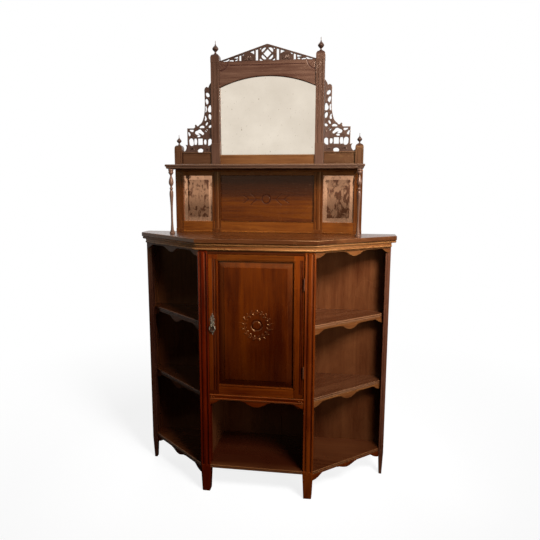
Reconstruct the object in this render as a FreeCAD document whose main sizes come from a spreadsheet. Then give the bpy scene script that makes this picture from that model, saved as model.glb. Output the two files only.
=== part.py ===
"""A mirror-backed mahogany chiffonier with canted open ends.

The base is a breakfront carcase: one cupboard door between two reeded posts, an open
compartment beneath it, and three open niches on each canted side.  The superstructure has
two turned columns, a shelf, three mirrors, pierced frets and a pierced pediment.

Millimetres, +Z up.  The origin is the middle of the footprint box, on the floor.
The front faces -Y, and right means +X.
"""
import FreeCAD, Part
import math
import os
import re
import Sketcher

Vector = FreeCAD.Vector

DIMENSIONS = {
    # Plan of the carcase
    "carcase_depth": 338,        # front posts' face to the back
    "front_half": 246,           # middle to the outer side of a front post
    "outer_half": 560,           # middle to the outer side of an outer post
    "front_post_wide": 44,
    "front_post_deep": 44,
    "post_corner_cut": 6,        # cant on the outer front corner of a front post
    "flute_wide": 5,
    "flute_deep": 3,
    "flute_pitch": 14,
    "flute_margin": 10,          # plain length above and below the flutes
    "outer_post_wide": 22,
    "outer_post_deep": 30,
    "outer_post_set": 254,       # front posts' face to outer posts' face
    "return_thick": 14,
    "return_inset": 2,
    "side_set": 10,              # cupboard side behind the outer side of its post
    "side_thick": 20,
    "back_thick": 10,
    "leg_taper": 2.4,            # degrees on each side
    # Heights and boards of the carcase
    "top_height": 1124,
    "top_thick": 30,
    "top_overhang": 18,
    "top_side_overhang": 24,
    "top_round": 9,
    "top_under_cut": 5,
    "frieze_thick": 18,
    "frieze_overhang": 8,
    "frieze_under_cut": 6,
    "head_rail_high": 16,
    "rail_thick": 20,
    "rail_set": 1,               # rails behind the posts' face
    "bearer_top": 454,
    "bearer_high": 24,
    "cupboard_floor_thick": 16,
    "cupboard_shelf_top": 745,
    "cupboard_shelf_thick": 14,
    "cupboard_shelf_set": 70,    # front posts' face to the shelf's front edge
    "batten": 18,
    "door_stop_wide": 10,
    "door_stop_thick": 12,
    "bottom_shelf_top": 128,
    "low_shelf_top": 456,
    "high_shelf_top": 771,
    "shelf_thick": 16,
    "shelf_front_set": 12,       # shelf's front edge at the front post
    "shelf_outer_set": 20,       # and at the outer post
    "bottom_front_set": 6,
    "bottom_outer_set": 4,
    # Aprons
    "apron_thick": 12,
    "apron_set": 2,
    "apron_strip": 5,
    "apron_bracket_long": 42,
    "apron_bracket_deep": 26,
    "apron_drop_half": 46,
    "apron_drop_deep": 27,
    "foot_bracket_long": 75,
    "foot_bracket_deep": 30,
    "foot_drop_half": 60,
    "foot_drop_deep": 14,
    "centre_bracket_long": 36,
    "centre_bracket_deep": 19,
    "centre_drop_half": 56,
    "centre_drop_deep": 20,
    # Door
    "door_thick": 20,
    "door_set": 2,
    "door_gap": 1.5,             # above and below
    "lock_gap": 2.0,
    "hinge_gap": 3.4,
    "stile_wide": 40,
    "door_top_rail": 26,
    "door_bottom_rail": 41,
    "tenon_long": 22,
    "tenon_shoulder": 6,
    "panel_thick": 7,
    "panel_tongue": 6,
    "panel_groove_set": 8,       # door's face to the panel's groove
    "panel_bevel": 27,
    "panel_rise": 6,
    # Hinges
    "hinge_high": 51,
    "hinge_inset": 90,
    "hinge_leaf_thick": 1.5,
    "hinge_leaf_deep": 16,
    "knuckle_radius": 3.2,
    "knuckle_clearance": 0.35,
    "hinge_pin_radius": 1.6,
    "pin_clearance": 0.05,
    # Lock
    "lock_height": 772,
    "lock_high": 60,
    "lock_deep": 28,
    "lock_thick": 11,
    "lock_set": 4,               # door's face to the lock
    "bolt_long": 18,
    "bolt_high": 14,
    "bolt_thick": 5,
    "bolt_throw": 8,
    "bolt_clearance": 0.4,
    "strike_thick": 0.8,
    "strike_border": 4,
    # Handle
    "plate_wide": 24,
    "plate_high": 92,
    "plate_thick": 2,
    "plate_over_pivot": 2,       # ring's pivot to the plate's middle
    "plate_off": 16,             # door's lock edge to the plate's middle
    "ring_pivot_height": 761,
    "ring_pivot_out": 7,         # plate's back to the ring's pivot
    "ring_radius": 12.5,
    "ring_wire": 1.8,
    "ring_neck": 4.6,
    "eye_radius": 3,
    "eye_long": 8,
    "eye_pin_radius": 1.3,
    "ear_thick": 2.4,
    "ear_radius": 3.2,
    "ear_clearance": 0.3,
    # Superstructure
    "mirror_shelf_top": 1430,
    "mirror_shelf_thick": 19,
    "mirror_shelf_half": 434,
    "mirror_shelf_set": 172,     # front posts' face to the shelf's front
    "shelf_nose": 5,
    "frame_thick": 22,
    "backing_thick": 8,
    "lower_rail_high": 51,
    "lower_head_high": 26,
    "inner_post_edge": 215,      # middle to the inner side of a tall post
    "tall_post_wide": 40,
    "upper_post_deep": 36,
    "tall_post_top": 1919,
    "short_post_middle": 412,
    "short_post_wide": 36,
    "short_post_top": 1524,
    "post_cap_cut": 7,
    "mirror_rail_high": 45,
    "side_rail_high": 57,
    "arch_rail_down": 37,        # tall posts' top to the arched rail's top
    "arch_rail_high": 109,       # at its ends
    "arch_rise": 46,
    "arch_clearance": 0.3,
    "glass_thick": 5,
    "glass_set": 8,
    "centre_panel_thick": 8,
    "fret_thick": 8,
    "fret_set": 6,
    "fret_corner_out": 116,      # tall post's outer side to the fret's square corner
    "fret_corner_up": 168,       # shelf's top to the square corner
    "fret_sweep_out": 78,
    "fret_neck_out": 31,
    "fret_neck_high": 94,        # upright part above the sweep
    "fret_top_down": 143,        # tall post's top to the fret's top
    "fret_ear_high": 21,         # scroll against the post above the fret's top
    "fret_horn_down": 70,        # square corner to the horn
    "fret_horn_out": 125,
    "fret_lights_down": 44,      # square corner to the row of upright openings
    "fret_lights_high": 33,
    "fret_bar": 8,
    "pediment_high": 72,
    "pediment_thick": 12,
    "pediment_end": 5,
    "pediment_eye": 16,
    "pediment_bar": 7,
    # Turned work
    "column_in": 22,             # shelf's end to the column's axis
    "column_back": 18,           # shelf's front to the column's axis
    "column_foot_radius": 12,
    "column_foot_high": 8,
    "column_flare_high": 44,
    "column_waist_radius": 4.8,
    "column_swell_radius": 8.5,
    "column_swell_down": 108,
    "column_bead_radius": 7.5,
    "column_bead_down": 86,
    "column_bulb_radius": 10.5,
    "column_bulb_down": 58,
    "column_neck_down": 28,
    "column_collar_radius": 11,
    "column_collar_high": 18,
    "finial_foot_radius": 7,
    "finial_neck_radius": 3.6,
    "finial_ball_radius": 14,
    "finial_ball_up": 22,
    "finial_high": 57,
    "finial_tip_radius": 1.2,
    "finial_small": 0.8,         # short posts' finials, as a share of the tall ones
}

doc = FreeCAD.newDocument("chiffonier")
sheet = doc.addObject("Spreadsheet::Sheet", "Sizes")
FUNCTIONS = ("sqrt", "atan")


class Size:
    """A length that knows both its value and the formula it comes from."""

    def __init__(self, text, value):
        self.text = text
        self.value = value

    def joined(self, sign, other, value):
        return Size(f"({self.text} {sign} {other.text})", value)

    def __add__(self, other):
        other = as_size(other)
        return self.joined("+", other, self.value + other.value)

    def __sub__(self, other):
        other = as_size(other)
        return self.joined("-", other, self.value - other.value)

    def __mul__(self, other):
        other = as_size(other)
        return self.joined("*", other, self.value * other.value)

    def __truediv__(self, other):
        other = as_size(other)
        return self.joined("/", other, self.value / other.value)

    def __neg__(self):
        return Size(f"(0 - {self.text})", -self.value)

    def __radd__(self, other):
        return as_size(other) + self

    def __rsub__(self, other):
        return as_size(other) - self

    def __rmul__(self, other):
        return as_size(other) * self


def as_size(number):
    if isinstance(number, Size):
        return number
    return Size(f"{number:g}", float(number))


def root(size):
    return Size(f"sqrt({size.text})", math.sqrt(size.value))


class Sheet:
    """Names of the spreadsheet's cells, each a Size."""


s = Sheet()


def cell(name, content, value):
    row = len(vars(s)) + 1
    sheet.set(f"A{row}", name)
    sheet.set(f"B{row}", content)
    sheet.setAlias(f"B{row}", name)
    setattr(s, name, Size(name, value))


def derive(name, size):
    cell(name, "=" + size.text, size.value)


for dimension, amount in DIMENSIONS.items():
    cell(dimension, str(amount), float(amount))

# Depth
derive("face_y", (s.top_overhang - s.carcase_depth) / 2)
derive("rear_y", s.face_y + s.carcase_depth)
derive("back_y", s.rear_y - s.back_thick)
derive("post_back_y", s.face_y + s.front_post_deep)
derive("outer_face_y", s.face_y + s.outer_post_set)
derive("outer_back_y", s.outer_face_y + s.outer_post_deep)
derive("door_face_y", s.face_y + s.door_set)
derive("door_back_y", s.door_face_y + s.door_thick)
derive("frame_y", s.rear_y - s.backing_thick - s.frame_thick)
derive("frame_back_y", s.rear_y - s.backing_thick)
derive("upper_post_y", s.rear_y - s.upper_post_deep)
derive("mirror_shelf_y", s.face_y + s.mirror_shelf_set)
# Width
derive("post_inner", s.front_half - s.front_post_wide)
derive("outer_inner", s.outer_half - s.outer_post_wide)
derive("return_inner", s.outer_half - s.return_inset - s.return_thick)
derive("side_outer", s.front_half - s.side_set)
derive("side_inner", s.side_outer - s.side_thick)
derive("tall_outer", s.inner_post_edge + s.tall_post_wide)
derive("short_inner", s.short_post_middle - s.short_post_wide / 2)
derive("short_outer", s.short_post_middle + s.short_post_wide / 2)
derive("door_left", s.lock_gap - s.post_inner)
derive("door_right", s.post_inner - s.hinge_gap)
derive("opening_left", s.door_left + s.stile_wide)
derive("opening_right", s.door_right - s.stile_wide)
# Height
derive("top_under", s.top_height - s.top_thick)
derive("frieze_under", s.top_under - s.frieze_thick)
derive("leg_high", s.bottom_shelf_top - s.shelf_thick)
derive("door_head", s.frieze_under - s.head_rail_high)
derive("door_top", s.door_head - s.door_gap)
derive("door_foot", s.bearer_top + s.door_gap)
derive("bearer_under", s.bearer_top - s.bearer_high)
derive("opening_top", s.door_top - s.door_top_rail)
derive("opening_foot", s.door_foot + s.door_bottom_rail)
derive("mirror_shelf_under", s.mirror_shelf_top - s.mirror_shelf_thick)
derive("lower_panel_foot", s.top_height + s.lower_rail_high)
derive("lower_panel_head", s.mirror_shelf_under - s.lower_head_high)
derive("mirror_foot", s.mirror_shelf_top + s.mirror_rail_high)
derive("side_rail_top", s.mirror_shelf_top + s.side_rail_high)
derive("arch_rail_top", s.tall_post_top - s.arch_rail_down)
derive("arch_spring", s.arch_rail_top - s.arch_rail_high)
derive("fret_top", s.tall_post_top - s.fret_top_down)
derive("fret_sweep_top", s.fret_top - s.fret_neck_high)
derive("fret_corner_top", s.mirror_shelf_top + s.fret_corner_up)
derive("fret_horn_top", s.fret_corner_top - s.fret_horn_down)
derive("fret_lights_top", s.fret_corner_top - s.fret_lights_down)
derive("fret_lights_foot", s.fret_lights_top - s.fret_lights_high)
# Cant of the top, from the front posts' corner to the outer posts' corner
derive("cant_run", s.outer_half - s.front_half)
derive("cant_length", root(s.cant_run * s.cant_run + s.outer_post_set * s.outer_post_set))
# Hinge pin and lock
derive("pin_x", s.post_inner - s.hinge_gap / 2)
derive("pin_y", s.face_y - s.knuckle_radius - s.knuckle_clearance)
derive("lock_mid_y", s.door_face_y + s.lock_set + s.lock_thick / 2)
derive("ring_y", s.door_face_y - s.ring_pivot_out)
derive("plate_x", s.door_left + s.plate_off)
derive("plate_height", s.ring_pivot_height + s.plate_over_pivot)
doc.recompute()


def formula(size):
    """The formula as an object's expression, with the sheet's name before each cell."""

    def prefixed(match):
        word = match.group()
        return word if word in FUNCTIONS else f"Sizes.{word}"

    return re.sub(r"[a-z][a-z_]+", prefixed, as_size(size).text)


def bind(thing, prop, size):
    thing.setExpression(prop, formula(size))


def place(thing, x=0, y=0, z=0, turn=None):
    """Bind an object's place, and its turn about the upright through that place."""
    corner = [as_size(v) for v in (x, y, z)]
    angle = 0 if turn is None else turn.value
    spot = Vector(*[v.value for v in corner])
    thing.Placement = FreeCAD.Placement(spot, FreeCAD.Rotation(Vector(0, 0, 1), angle))
    for axis, size in zip("xyz", corner):
        bind(thing, f"Placement.Base.{axis}", size)
    if turn is not None:
        bind(thing, "Placement.Rotation.Angle", turn)


def board(label, x, y, z):
    """A plain board between three pairs of bounds."""
    box = doc.addObject("Part::Box", label)
    for prop, (low, high) in zip(("Length", "Width", "Height"), (x, y, z)):
        bind(box, prop, as_size(high) - low)
    place(box, x[0], y[0], z[0])
    return box


def rod(label, x, y, z, radius, length, axis="z"):
    """A round rod that starts at a point and runs along an axis."""
    cylinder = doc.addObject("Part::Cylinder", label)
    bind(cylinder, "Radius", radius)
    bind(cylinder, "Height", length)
    place(cylinder, x, y, z)
    turns = {"z": (Vector(0, 0, 1), 0), "x": (Vector(0, 1, 0), 90), "y": (Vector(1, 0, 0), -90)}
    cylinder.Placement.Rotation = FreeCAD.Rotation(*turns[axis])
    return cylinder


def cut(label, solid, *tools):
    tool = tools[0] if len(tools) == 1 else fuse(label + "_tools", *tools)
    result = doc.addObject("Part::Cut", label)
    result.Base = solid
    result.Tool = tool
    return result


def fuse(label, *solids):
    result = doc.addObject("Part::MultiFuse", label)
    result.Shapes = list(solids)
    return result


def group(label, *solids):
    """Separate solids that share one node."""
    result = doc.addObject("Part::Compound", label)
    result.Links = list(solids)
    return result


def mirrored(label, solid):
    """The left-hand twin of a right-hand piece."""
    twin = doc.addObject("Part::Mirroring", label)
    twin.Source = solid
    twin.Normal = Vector(1, 0, 0)
    return twin


def new_body(label):
    return doc.addObject("PartDesign::Body", label)


def new_sketch(body, role, label, offset=None):
    sketch = body.newObject("Sketcher::SketchObject", label)
    planes = [item for item in body.Origin.OriginFeatures if item.Role == role]
    sketch.AttachmentSupport = (planes[0], [""])
    sketch.MapMode = "FlatFace"
    if offset is not None:
        bind(sketch, "AttachmentOffset.Base.z", offset)
    return sketch


class Via:
    """A point that an arc passes through, between two corners of an outline."""

    def __init__(self, x, y):
        self.point = (as_size(x), as_size(y))


def pin_point(sketch, geometry, position, point):
    """Hold one point of a sketch at a pair of sizes."""
    for kind, size in zip(("DistanceX", "DistanceY"), point):
        index = sketch.addConstraint(
            Sketcher.Constraint(kind, -1, 1, geometry, position, size.value))
        bind(sketch, f"Constraints[{index}]", size)


def trace(sketch, path):
    """Draw a closed outline of corners, with straight edges and arcs through Via points."""
    corners = [i for i, step in enumerate(path) if not isinstance(step, Via)]
    points = {i: (as_size(path[i][0]), as_size(path[i][1])) for i in corners}
    ends = corners[1:] + corners[:1]
    edges = []
    for first, last in zip(corners, ends):
        start = Vector(*[v.value for v in points[first]], 0)
        stop = Vector(*[v.value for v in points[last]], 0)
        via = path[first + 1] if first + 1 < len(path) else None
        if isinstance(via, Via):
            middle = Vector(*[v.value for v in via.point], 0)
            geometry = sketch.addGeometry(Part.Arc(start, middle, stop), False)
            guide = sketch.addGeometry(Part.Point(middle), True)
            sketch.addConstraint(Sketcher.Constraint("PointOnObject", guide, 1, geometry))
            pin_point(sketch, guide, 1, via.point)
        else:
            geometry = sketch.addGeometry(Part.LineSegment(start, stop), False)
        forward = sketch.getPoint(geometry, 1).distanceToPoint(start) < 1e-6
        edges.append((geometry, 1, 2) if forward else (geometry, 2, 1))
    for corner, edge, after in zip(corners, edges, edges[1:] + edges[:1]):
        pin_point(sketch, edge[0], edge[1], points[corner])
        sketch.addConstraint(
            Sketcher.Constraint("Coincident", edge[0], edge[2], after[0], after[1]))
    return sketch


def pad(body, sketch, length, reverse=False, taper=None):
    feature = body.newObject("PartDesign::Pad", "Pad")
    feature.Profile = sketch
    bind(feature, "Length", length)
    feature.Reversed = reverse
    if taper is not None:
        bind(feature, "TaperAngle", taper)
    doc.recompute()
    return feature


def pocket(body, sketch, length=None, reverse=False):
    """Cut a sketch into the body, and make sure that it took something away."""
    before = body.Shape.Volume
    feature = body.newObject("PartDesign::Pocket", "Pocket")
    feature.Profile = sketch
    feature.Reversed = reverse
    if length is None:
        feature.Type = "ThroughAll"
    else:
        bind(feature, "Length", length)
    doc.recompute()
    if feature.Shape.Volume > before - 1:
        raise RuntimeError(f"{body.Label}: a pocket cuts nothing")
    return feature


def upright_plate(label, path, thick, x=0, y=0, z=0, turn=None):
    """A plate drawn in the XZ plane, its front face at y."""
    body = new_body(label)
    pad(body, trace(new_sketch(body, "XZ_Plane", "Outline"), path), thick, reverse=True)
    place(body, x, y, z, turn)
    return body


def flat_plate(label, path, low, high):
    """A plate drawn in plan, between two heights."""
    body = new_body(label)
    pad(body, trace(new_sketch(body, "XY_Plane", "Plan"), path), as_size(high) - low)
    place(body, z=low)
    return body


def both_sides(right_half):
    """A plan that is the same on both sides, from its right half, front to back."""
    left_half = [(-as_size(x), y) for x, y in reversed(right_half)]
    return right_half + left_half


def dress_edges(body, kind, height, radius, keep):
    """Round or bevel the edges that lie at one height of a body."""
    source = body.Tip
    names = []
    for number, edge in enumerate(source.Shape.Edges, 1):
        level = all(abs(v.Z - height.value) < 0.01 for v in edge.Vertexes)
        if level and keep(edge.CenterOfMass):
            names.append(f"Edge{number}")
    feature = body.newObject(f"PartDesign::{kind}", kind)
    feature.Base = (source, names)
    bind(feature, "Radius" if kind == "Fillet" else "Size", radius)
    doc.recompute()
    return feature


def not_at_back(point):
    return point.y < s.rear_y.value - 1


def turned(label, path, x, y, z):
    """A turned piece, from its half profile."""
    body = new_body(label)
    sketch = trace(new_sketch(body, "XZ_Plane", "Profile"), path)
    lathe = body.newObject("PartDesign::Revolution", "Revolution")
    lathe.Profile = sketch
    lathe.ReferenceAxis = (sketch, ["V_Axis"])
    lathe.Angle = 360
    place(body, x, y, z)
    return body


# ---------------------------------------------------------------- top and frieze

def canted_plan(overhang, side_overhang):
    """The carcase's plan, grown by an overhang on the front and cants."""
    slope = s.outer_post_set / s.cant_run
    corner_x = s.front_half + overhang * s.outer_post_set / (s.cant_length + s.cant_run)
    tip_x = s.outer_half + side_overhang
    tip_y = s.face_y + (tip_x - s.front_half) * slope - overhang * s.cant_length / s.cant_run
    return both_sides([(corner_x, s.face_y - overhang), (tip_x, tip_y), (tip_x, s.rear_y)])


def make_top():
    top = flat_plate("countertop", canted_plan(s.top_overhang, s.top_side_overhang),
                     s.top_under, s.top_height)
    dress_edges(top, "Fillet", s.top_thick, s.top_round, not_at_back)
    dress_edges(top, "Chamfer", as_size(0), s.top_under_cut, not_at_back)
    frieze = flat_plate("frieze_moulding", canted_plan(s.frieze_overhang, s.frieze_overhang),
                        s.frieze_under, s.top_under)
    dress_edges(frieze, "Chamfer", as_size(0), s.frieze_under_cut, not_at_back)
    return [top, frieze]


# ---------------------------------------------------------------- posts

def post_with_leg(label, plan, x=0):
    """An upright post whose foot tapers below the bottom shelf."""
    body = new_body(label)
    sketch = trace(new_sketch(body, "XY_Plane", "Plan"), plan)
    pad(body, sketch, s.frieze_under - s.leg_high)
    pad(body, sketch, s.leg_high, reverse=True, taper=-s.leg_taper)
    place(body, x, 0, s.leg_high)
    return body


def flute(body):
    """Two upright flutes that leave three reeds on the front face."""
    middle = s.front_half - s.post_corner_cut / 2 - s.front_post_wide / 2
    first = middle - s.flute_pitch / 2 - s.flute_wide / 2
    low = s.flute_margin
    high = s.door_head - s.leg_high - s.flute_margin
    sketch = new_sketch(body, "XZ_Plane", "Flute", offset=-s.face_y)
    trace(sketch, [(first, low), (first + s.flute_wide, low),
                   (first + s.flute_wide, high), (first, high)])
    groove = pocket(body, sketch, s.flute_deep)
    pattern = body.newObject("PartDesign::LinearPattern", "Flutes")
    pattern.Originals = [groove]
    pattern.Direction = (sketch, ["H_Axis"])
    pattern.Occurrences = 2
    bind(pattern, "Length", s.flute_pitch)
    body.Tip = pattern
    doc.recompute()


def make_posts():
    slope = s.outer_post_set / s.cant_run
    plan = [(s.post_inner, s.face_y),
            (s.front_half - s.post_corner_cut, s.face_y),
            (s.front_half, s.face_y + s.post_corner_cut * slope),
            (s.front_half, s.post_back_y),
            (s.post_inner, s.post_back_y)]
    front = post_with_leg("front_post_right", plan)
    flute(front)
    mortise = board("bolt_mortise",
                    (-s.post_inner - s.bolt_throw - s.bolt_clearance * 4, -s.post_inner),
                    (s.lock_mid_y - s.bolt_thick / 2 - s.bolt_clearance * 2,
                     s.lock_mid_y + s.bolt_thick / 2 + s.bolt_clearance * 2),
                    (s.lock_height - s.bolt_high / 2 - s.bolt_clearance * 2,
                     s.lock_height + s.bolt_high / 2 + s.bolt_clearance * 2))
    front_left = cut("front_post_left", mirrored("post_blank", front), mortise)
    outer_plan = [(s.outer_inner, s.outer_face_y), (s.outer_half, s.outer_face_y),
                  (s.outer_half, s.outer_back_y), (s.outer_inner, s.outer_back_y)]
    outer = post_with_leg("outer_post_right", outer_plan)
    return [front, front_left, outer, mirrored("outer_post_left", outer)]


# ---------------------------------------------------------------- carcase boards

def shelf_line(front_set, outer_set):
    """Front edge of a canted shelf: its ends at the front post and the outer post."""
    return [(s.front_half, s.face_y + front_set), (s.outer_inner, s.outer_face_y + outer_set)]


def make_niche_shelf(label, top):
    plan = shelf_line(s.shelf_front_set, s.shelf_outer_set) + [
        (s.outer_inner, s.outer_back_y), (s.return_inner, s.outer_back_y),
        (s.return_inner, s.back_y), (s.side_outer, s.back_y),
        (s.side_outer, s.post_back_y), (s.front_half, s.post_back_y)]
    return flat_plate(label, plan, top - s.shelf_thick, top)


def make_boards():
    side = board("cupboard_side_right", (s.side_inner, s.side_outer),
                 (s.post_back_y, s.back_y), (s.bottom_shelf_top, s.frieze_under))
    end = board("return_panel_right", (s.return_inner, s.outer_half - s.return_inset),
                (s.outer_back_y, s.rear_y), (s.leg_high, s.frieze_under))
    back = board("back_board", (-s.return_inner, s.return_inner),
                 (s.back_y, s.rear_y), (s.leg_high, s.frieze_under))
    plan = both_sides(
        [(s.post_inner, s.face_y + s.rail_set), (s.post_inner, s.post_back_y),
         (s.front_half, s.post_back_y)]
        + shelf_line(s.bottom_front_set, s.bottom_outer_set)
        + [(s.outer_inner, s.outer_back_y), (s.return_inner, s.outer_back_y),
           (s.return_inner, s.back_y)])
    bottom = flat_plate("bottom_shelf", plan, s.leg_high, s.bottom_shelf_top)
    low = make_niche_shelf("niche_shelf_low_right", s.low_shelf_top)
    high = make_niche_shelf("niche_shelf_high_right", s.high_shelf_top)
    return [side, mirrored("cupboard_side_left", side),
            group("return_panels", end, mirrored("return_panel_left", end)), back, bottom,
            low, mirrored("niche_shelf_low_left", low),
            high, mirrored("niche_shelf_high_left", high)]


def make_cupboard():
    rail_y = (s.face_y + s.rail_set, s.face_y + s.rail_set + s.rail_thick)
    between_posts = (-s.post_inner, s.post_inner)
    head = board("head_rail", between_posts, rail_y, (s.door_head, s.frieze_under))
    bearer = board("door_bearer_rail", between_posts, rail_y, (s.bearer_under, s.bearer_top))
    shelf_front = s.face_y + s.cupboard_shelf_set
    floor_plan = both_sides([(s.post_inner, rail_y[1]), (s.post_inner, s.post_back_y),
                             (s.side_inner, s.post_back_y), (s.side_inner, s.back_y)])
    floor = flat_plate("cupboard_floor", floor_plan,
                       s.bearer_top - s.cupboard_floor_thick, s.bearer_top)
    shelf = board("cupboard_shelf", (-s.side_inner, s.side_inner), (shelf_front, s.back_y),
                  (s.cupboard_shelf_top - s.cupboard_shelf_thick, s.cupboard_shelf_top))
    under = s.cupboard_shelf_top - s.cupboard_shelf_thick
    batten = board("batten_right", (s.side_inner - s.batten, s.side_inner),
                   (shelf_front, s.back_y), (under - s.batten, under))
    battens = group("shelf_battens", batten, mirrored("batten_left", batten))
    stop_y = s.door_back_y + s.door_gap
    stop = board("door_stop", (-s.post_inner, -s.post_inner + s.door_stop_wide),
                 (stop_y, stop_y + s.door_stop_thick), (s.bearer_top, s.door_head))
    return [head, bearer, floor, shelf, battens, stop]


# ---------------------------------------------------------------- aprons

def scallop(length, bracket, drop, half):
    """Outline of an apron: a corner bracket at each end and a bow in the middle."""
    middle = length / 2
    strip = -s.apron_strip
    right = [(middle + half, strip),
             (length - bracket[0], strip),
             Via(length - bracket[0] * 0.35, strip - (bracket[1] + strip) * 0.3),
             (length, -bracket[1])]
    left = [(0, -bracket[1]),
            Via(bracket[0] * 0.35, strip - (bracket[1] + strip) * 0.3),
            (bracket[0], strip),
            (middle - half, strip)]
    bow = [Via(middle - half * 0.5, strip - (drop + strip) * 0.35),
           (middle - half * 0.25, -drop * 0.8),
           Via(middle, -drop),
           (middle + half * 0.25, -drop * 0.8),
           Via(middle + half * 0.5, strip - (drop + strip) * 0.35)]
    return left + bow + right + [(length, 0), (0, 0)]


def canted_apron(label, line, top, bracket, drop, half):
    """An apron on a canted line, with its ends cut to the posts' sides."""
    (x_from, y_from), (x_to, y_to) = line
    run = x_to - x_from
    rise = y_to - y_from
    length = root(run * run + rise * rise)
    slip = s.apron_thick * rise / run
    body = new_body(label)
    sketch = trace(new_sketch(body, "XZ_Plane", "Outline"), scallop(length, bracket, drop, half))
    pad(body, sketch, s.apron_thick, reverse=True)
    mitre = trace(new_sketch(body, "XY_Plane", "Mitre"),
                  [(0, 0), (slip, s.apron_thick), (0, s.apron_thick)])
    pocket(body, mitre, reverse=False)
    step_back = s.apron_set * length / run
    turn = Size(f"atan({(rise / run).text})", math.degrees(math.atan2(rise.value, run.value)))
    place(body, x_from, y_from + step_back, top, turn)
    return body


def make_aprons():
    upper_line = shelf_line(s.bottom_front_set, s.bottom_outer_set)
    shelf_edge = shelf_line(s.shelf_front_set, s.shelf_outer_set)
    bracket = (s.apron_bracket_long, s.apron_bracket_deep)
    drop = (s.apron_drop_deep, s.apron_drop_half)
    rights = [
        canted_apron("top_apron", upper_line, s.frieze_under, bracket, *drop),
        canted_apron("high_apron", shelf_edge, s.high_shelf_top - s.shelf_thick, bracket, *drop),
        canted_apron("low_apron", shelf_edge, s.low_shelf_top - s.shelf_thick, bracket, *drop)]
    lefts = [mirrored(piece.Label + "_left", piece) for piece in rights]
    foot = canted_apron("foot_apron", upper_line, s.leg_high,
                        (s.foot_bracket_long, s.foot_bracket_deep),
                        s.foot_drop_deep, s.foot_drop_half)
    centre = upright_plate(
        "centre_apron",
        scallop(s.post_inner * 2, (s.centre_bracket_long, s.centre_bracket_deep),
                s.centre_drop_deep, s.centre_drop_half),
        s.apron_thick, -s.post_inner, s.face_y + s.rail_set + s.apron_set, s.bearer_under)
    return [group("scalloped_aprons", *rights, *lefts),
            group("foot_aprons", foot, mirrored("foot_apron_left", foot)), centre]


# ---------------------------------------------------------------- door

def make_door():
    door_y = (s.door_face_y, s.door_back_y)
    groove_y = (s.door_face_y + s.panel_groove_set,
                s.door_face_y + s.panel_groove_set + s.panel_thick)
    groove_z = (s.opening_foot - s.panel_tongue, s.opening_top + s.panel_tongue)
    tenon_top = (s.opening_top + s.panel_tongue, s.door_top - s.tenon_shoulder)
    tenon_foot = (s.door_foot + s.tenon_shoulder, s.opening_foot - s.panel_tongue)

    def stile(label, edge, opening, inward, *more):
        low, high = (edge, opening) if inward > 0 else (opening, edge)
        blank = board(label + "_blank", (low, high), door_y, (s.door_foot, s.door_top))
        tongue = sorted((opening, opening - s.panel_tongue * inward), key=lambda v: v.value)
        tenon = sorted((opening, opening - s.tenon_long * inward), key=lambda v: v.value)
        tools = [board(label + "_groove", tongue, groove_y, groove_z),
                 board(label + "_mortise_top", tenon, groove_y, tenon_top),
                 board(label + "_mortise_foot", tenon, groove_y, tenon_foot)]
        return cut(label, blank, *tools, *more)

    lock_case = (s.door_left, s.door_left + s.lock_deep)
    lock_y = (s.lock_mid_y - s.lock_thick / 2, s.lock_mid_y + s.lock_thick / 2)
    lock_z = (s.lock_height - s.lock_high / 2, s.lock_height + s.lock_high / 2)
    pocket_box = board("lock_pocket", lock_case, lock_y, lock_z)
    lock_stile = stile("door_stile_lock", s.door_left, s.opening_left, 1, pocket_box)
    hinge_stile = stile("door_stile_hinge", s.door_right, s.opening_right, -1)

    def rail(label, span, tenon_z, groove_from, groove_to):
        between = (s.opening_left, s.opening_right)
        body_box = board(label + "_blank", between, door_y, span)
        tenons = board(label + "_tenons",
                       (s.opening_left - s.tenon_long, s.opening_right + s.tenon_long),
                       groove_y, tenon_z)
        groove = board(label + "_groove", between, groove_y, (groove_from, groove_to))
        return cut(label, fuse(label + "_whole", body_box, tenons), groove)

    top_rail = rail("door_rail_top", (s.opening_top, s.door_top), tenon_top,
                    s.opening_top, s.opening_top + s.panel_tongue)
    foot_rail = rail("door_rail_bottom", (s.door_foot, s.opening_foot), tenon_foot,
                     s.opening_foot - s.panel_tongue, s.opening_foot)

    tongue_plate = board("panel_plate",
                         (s.opening_left - s.panel_tongue, s.opening_right + s.panel_tongue),
                         groove_y, groove_z)
    field = doc.addObject("Part::Wedge", "panel_field")
    wide = s.opening_right - s.opening_left
    high = s.opening_top - s.opening_foot
    bounds = {"Xmin": 0, "Xmax": wide, "Zmin": 0, "Zmax": high, "Ymin": 0, "Ymax": s.panel_rise,
              "X2min": s.panel_bevel, "X2max": wide - s.panel_bevel,
              "Z2min": s.panel_bevel, "Z2max": high - s.panel_bevel}
    for prop, size in bounds.items():
        setattr(field, prop, as_size(size).value)
        bind(field, prop, size)
    field.Placement.Rotation = FreeCAD.Rotation(Vector(0, 0, 1), 180)
    bind(field, "Placement.Base.x", s.opening_right)
    bind(field, "Placement.Base.y", groove_y[0])
    bind(field, "Placement.Base.z", s.opening_foot)
    panel = fuse("door_panel", tongue_plate, field)
    return [lock_stile, hinge_stile, top_rail, foot_rail, panel]


# ---------------------------------------------------------------- hinges

def hinge_heights():
    return [s.door_foot + s.hinge_inset, s.door_top - s.hinge_inset - s.hinge_high]


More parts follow.
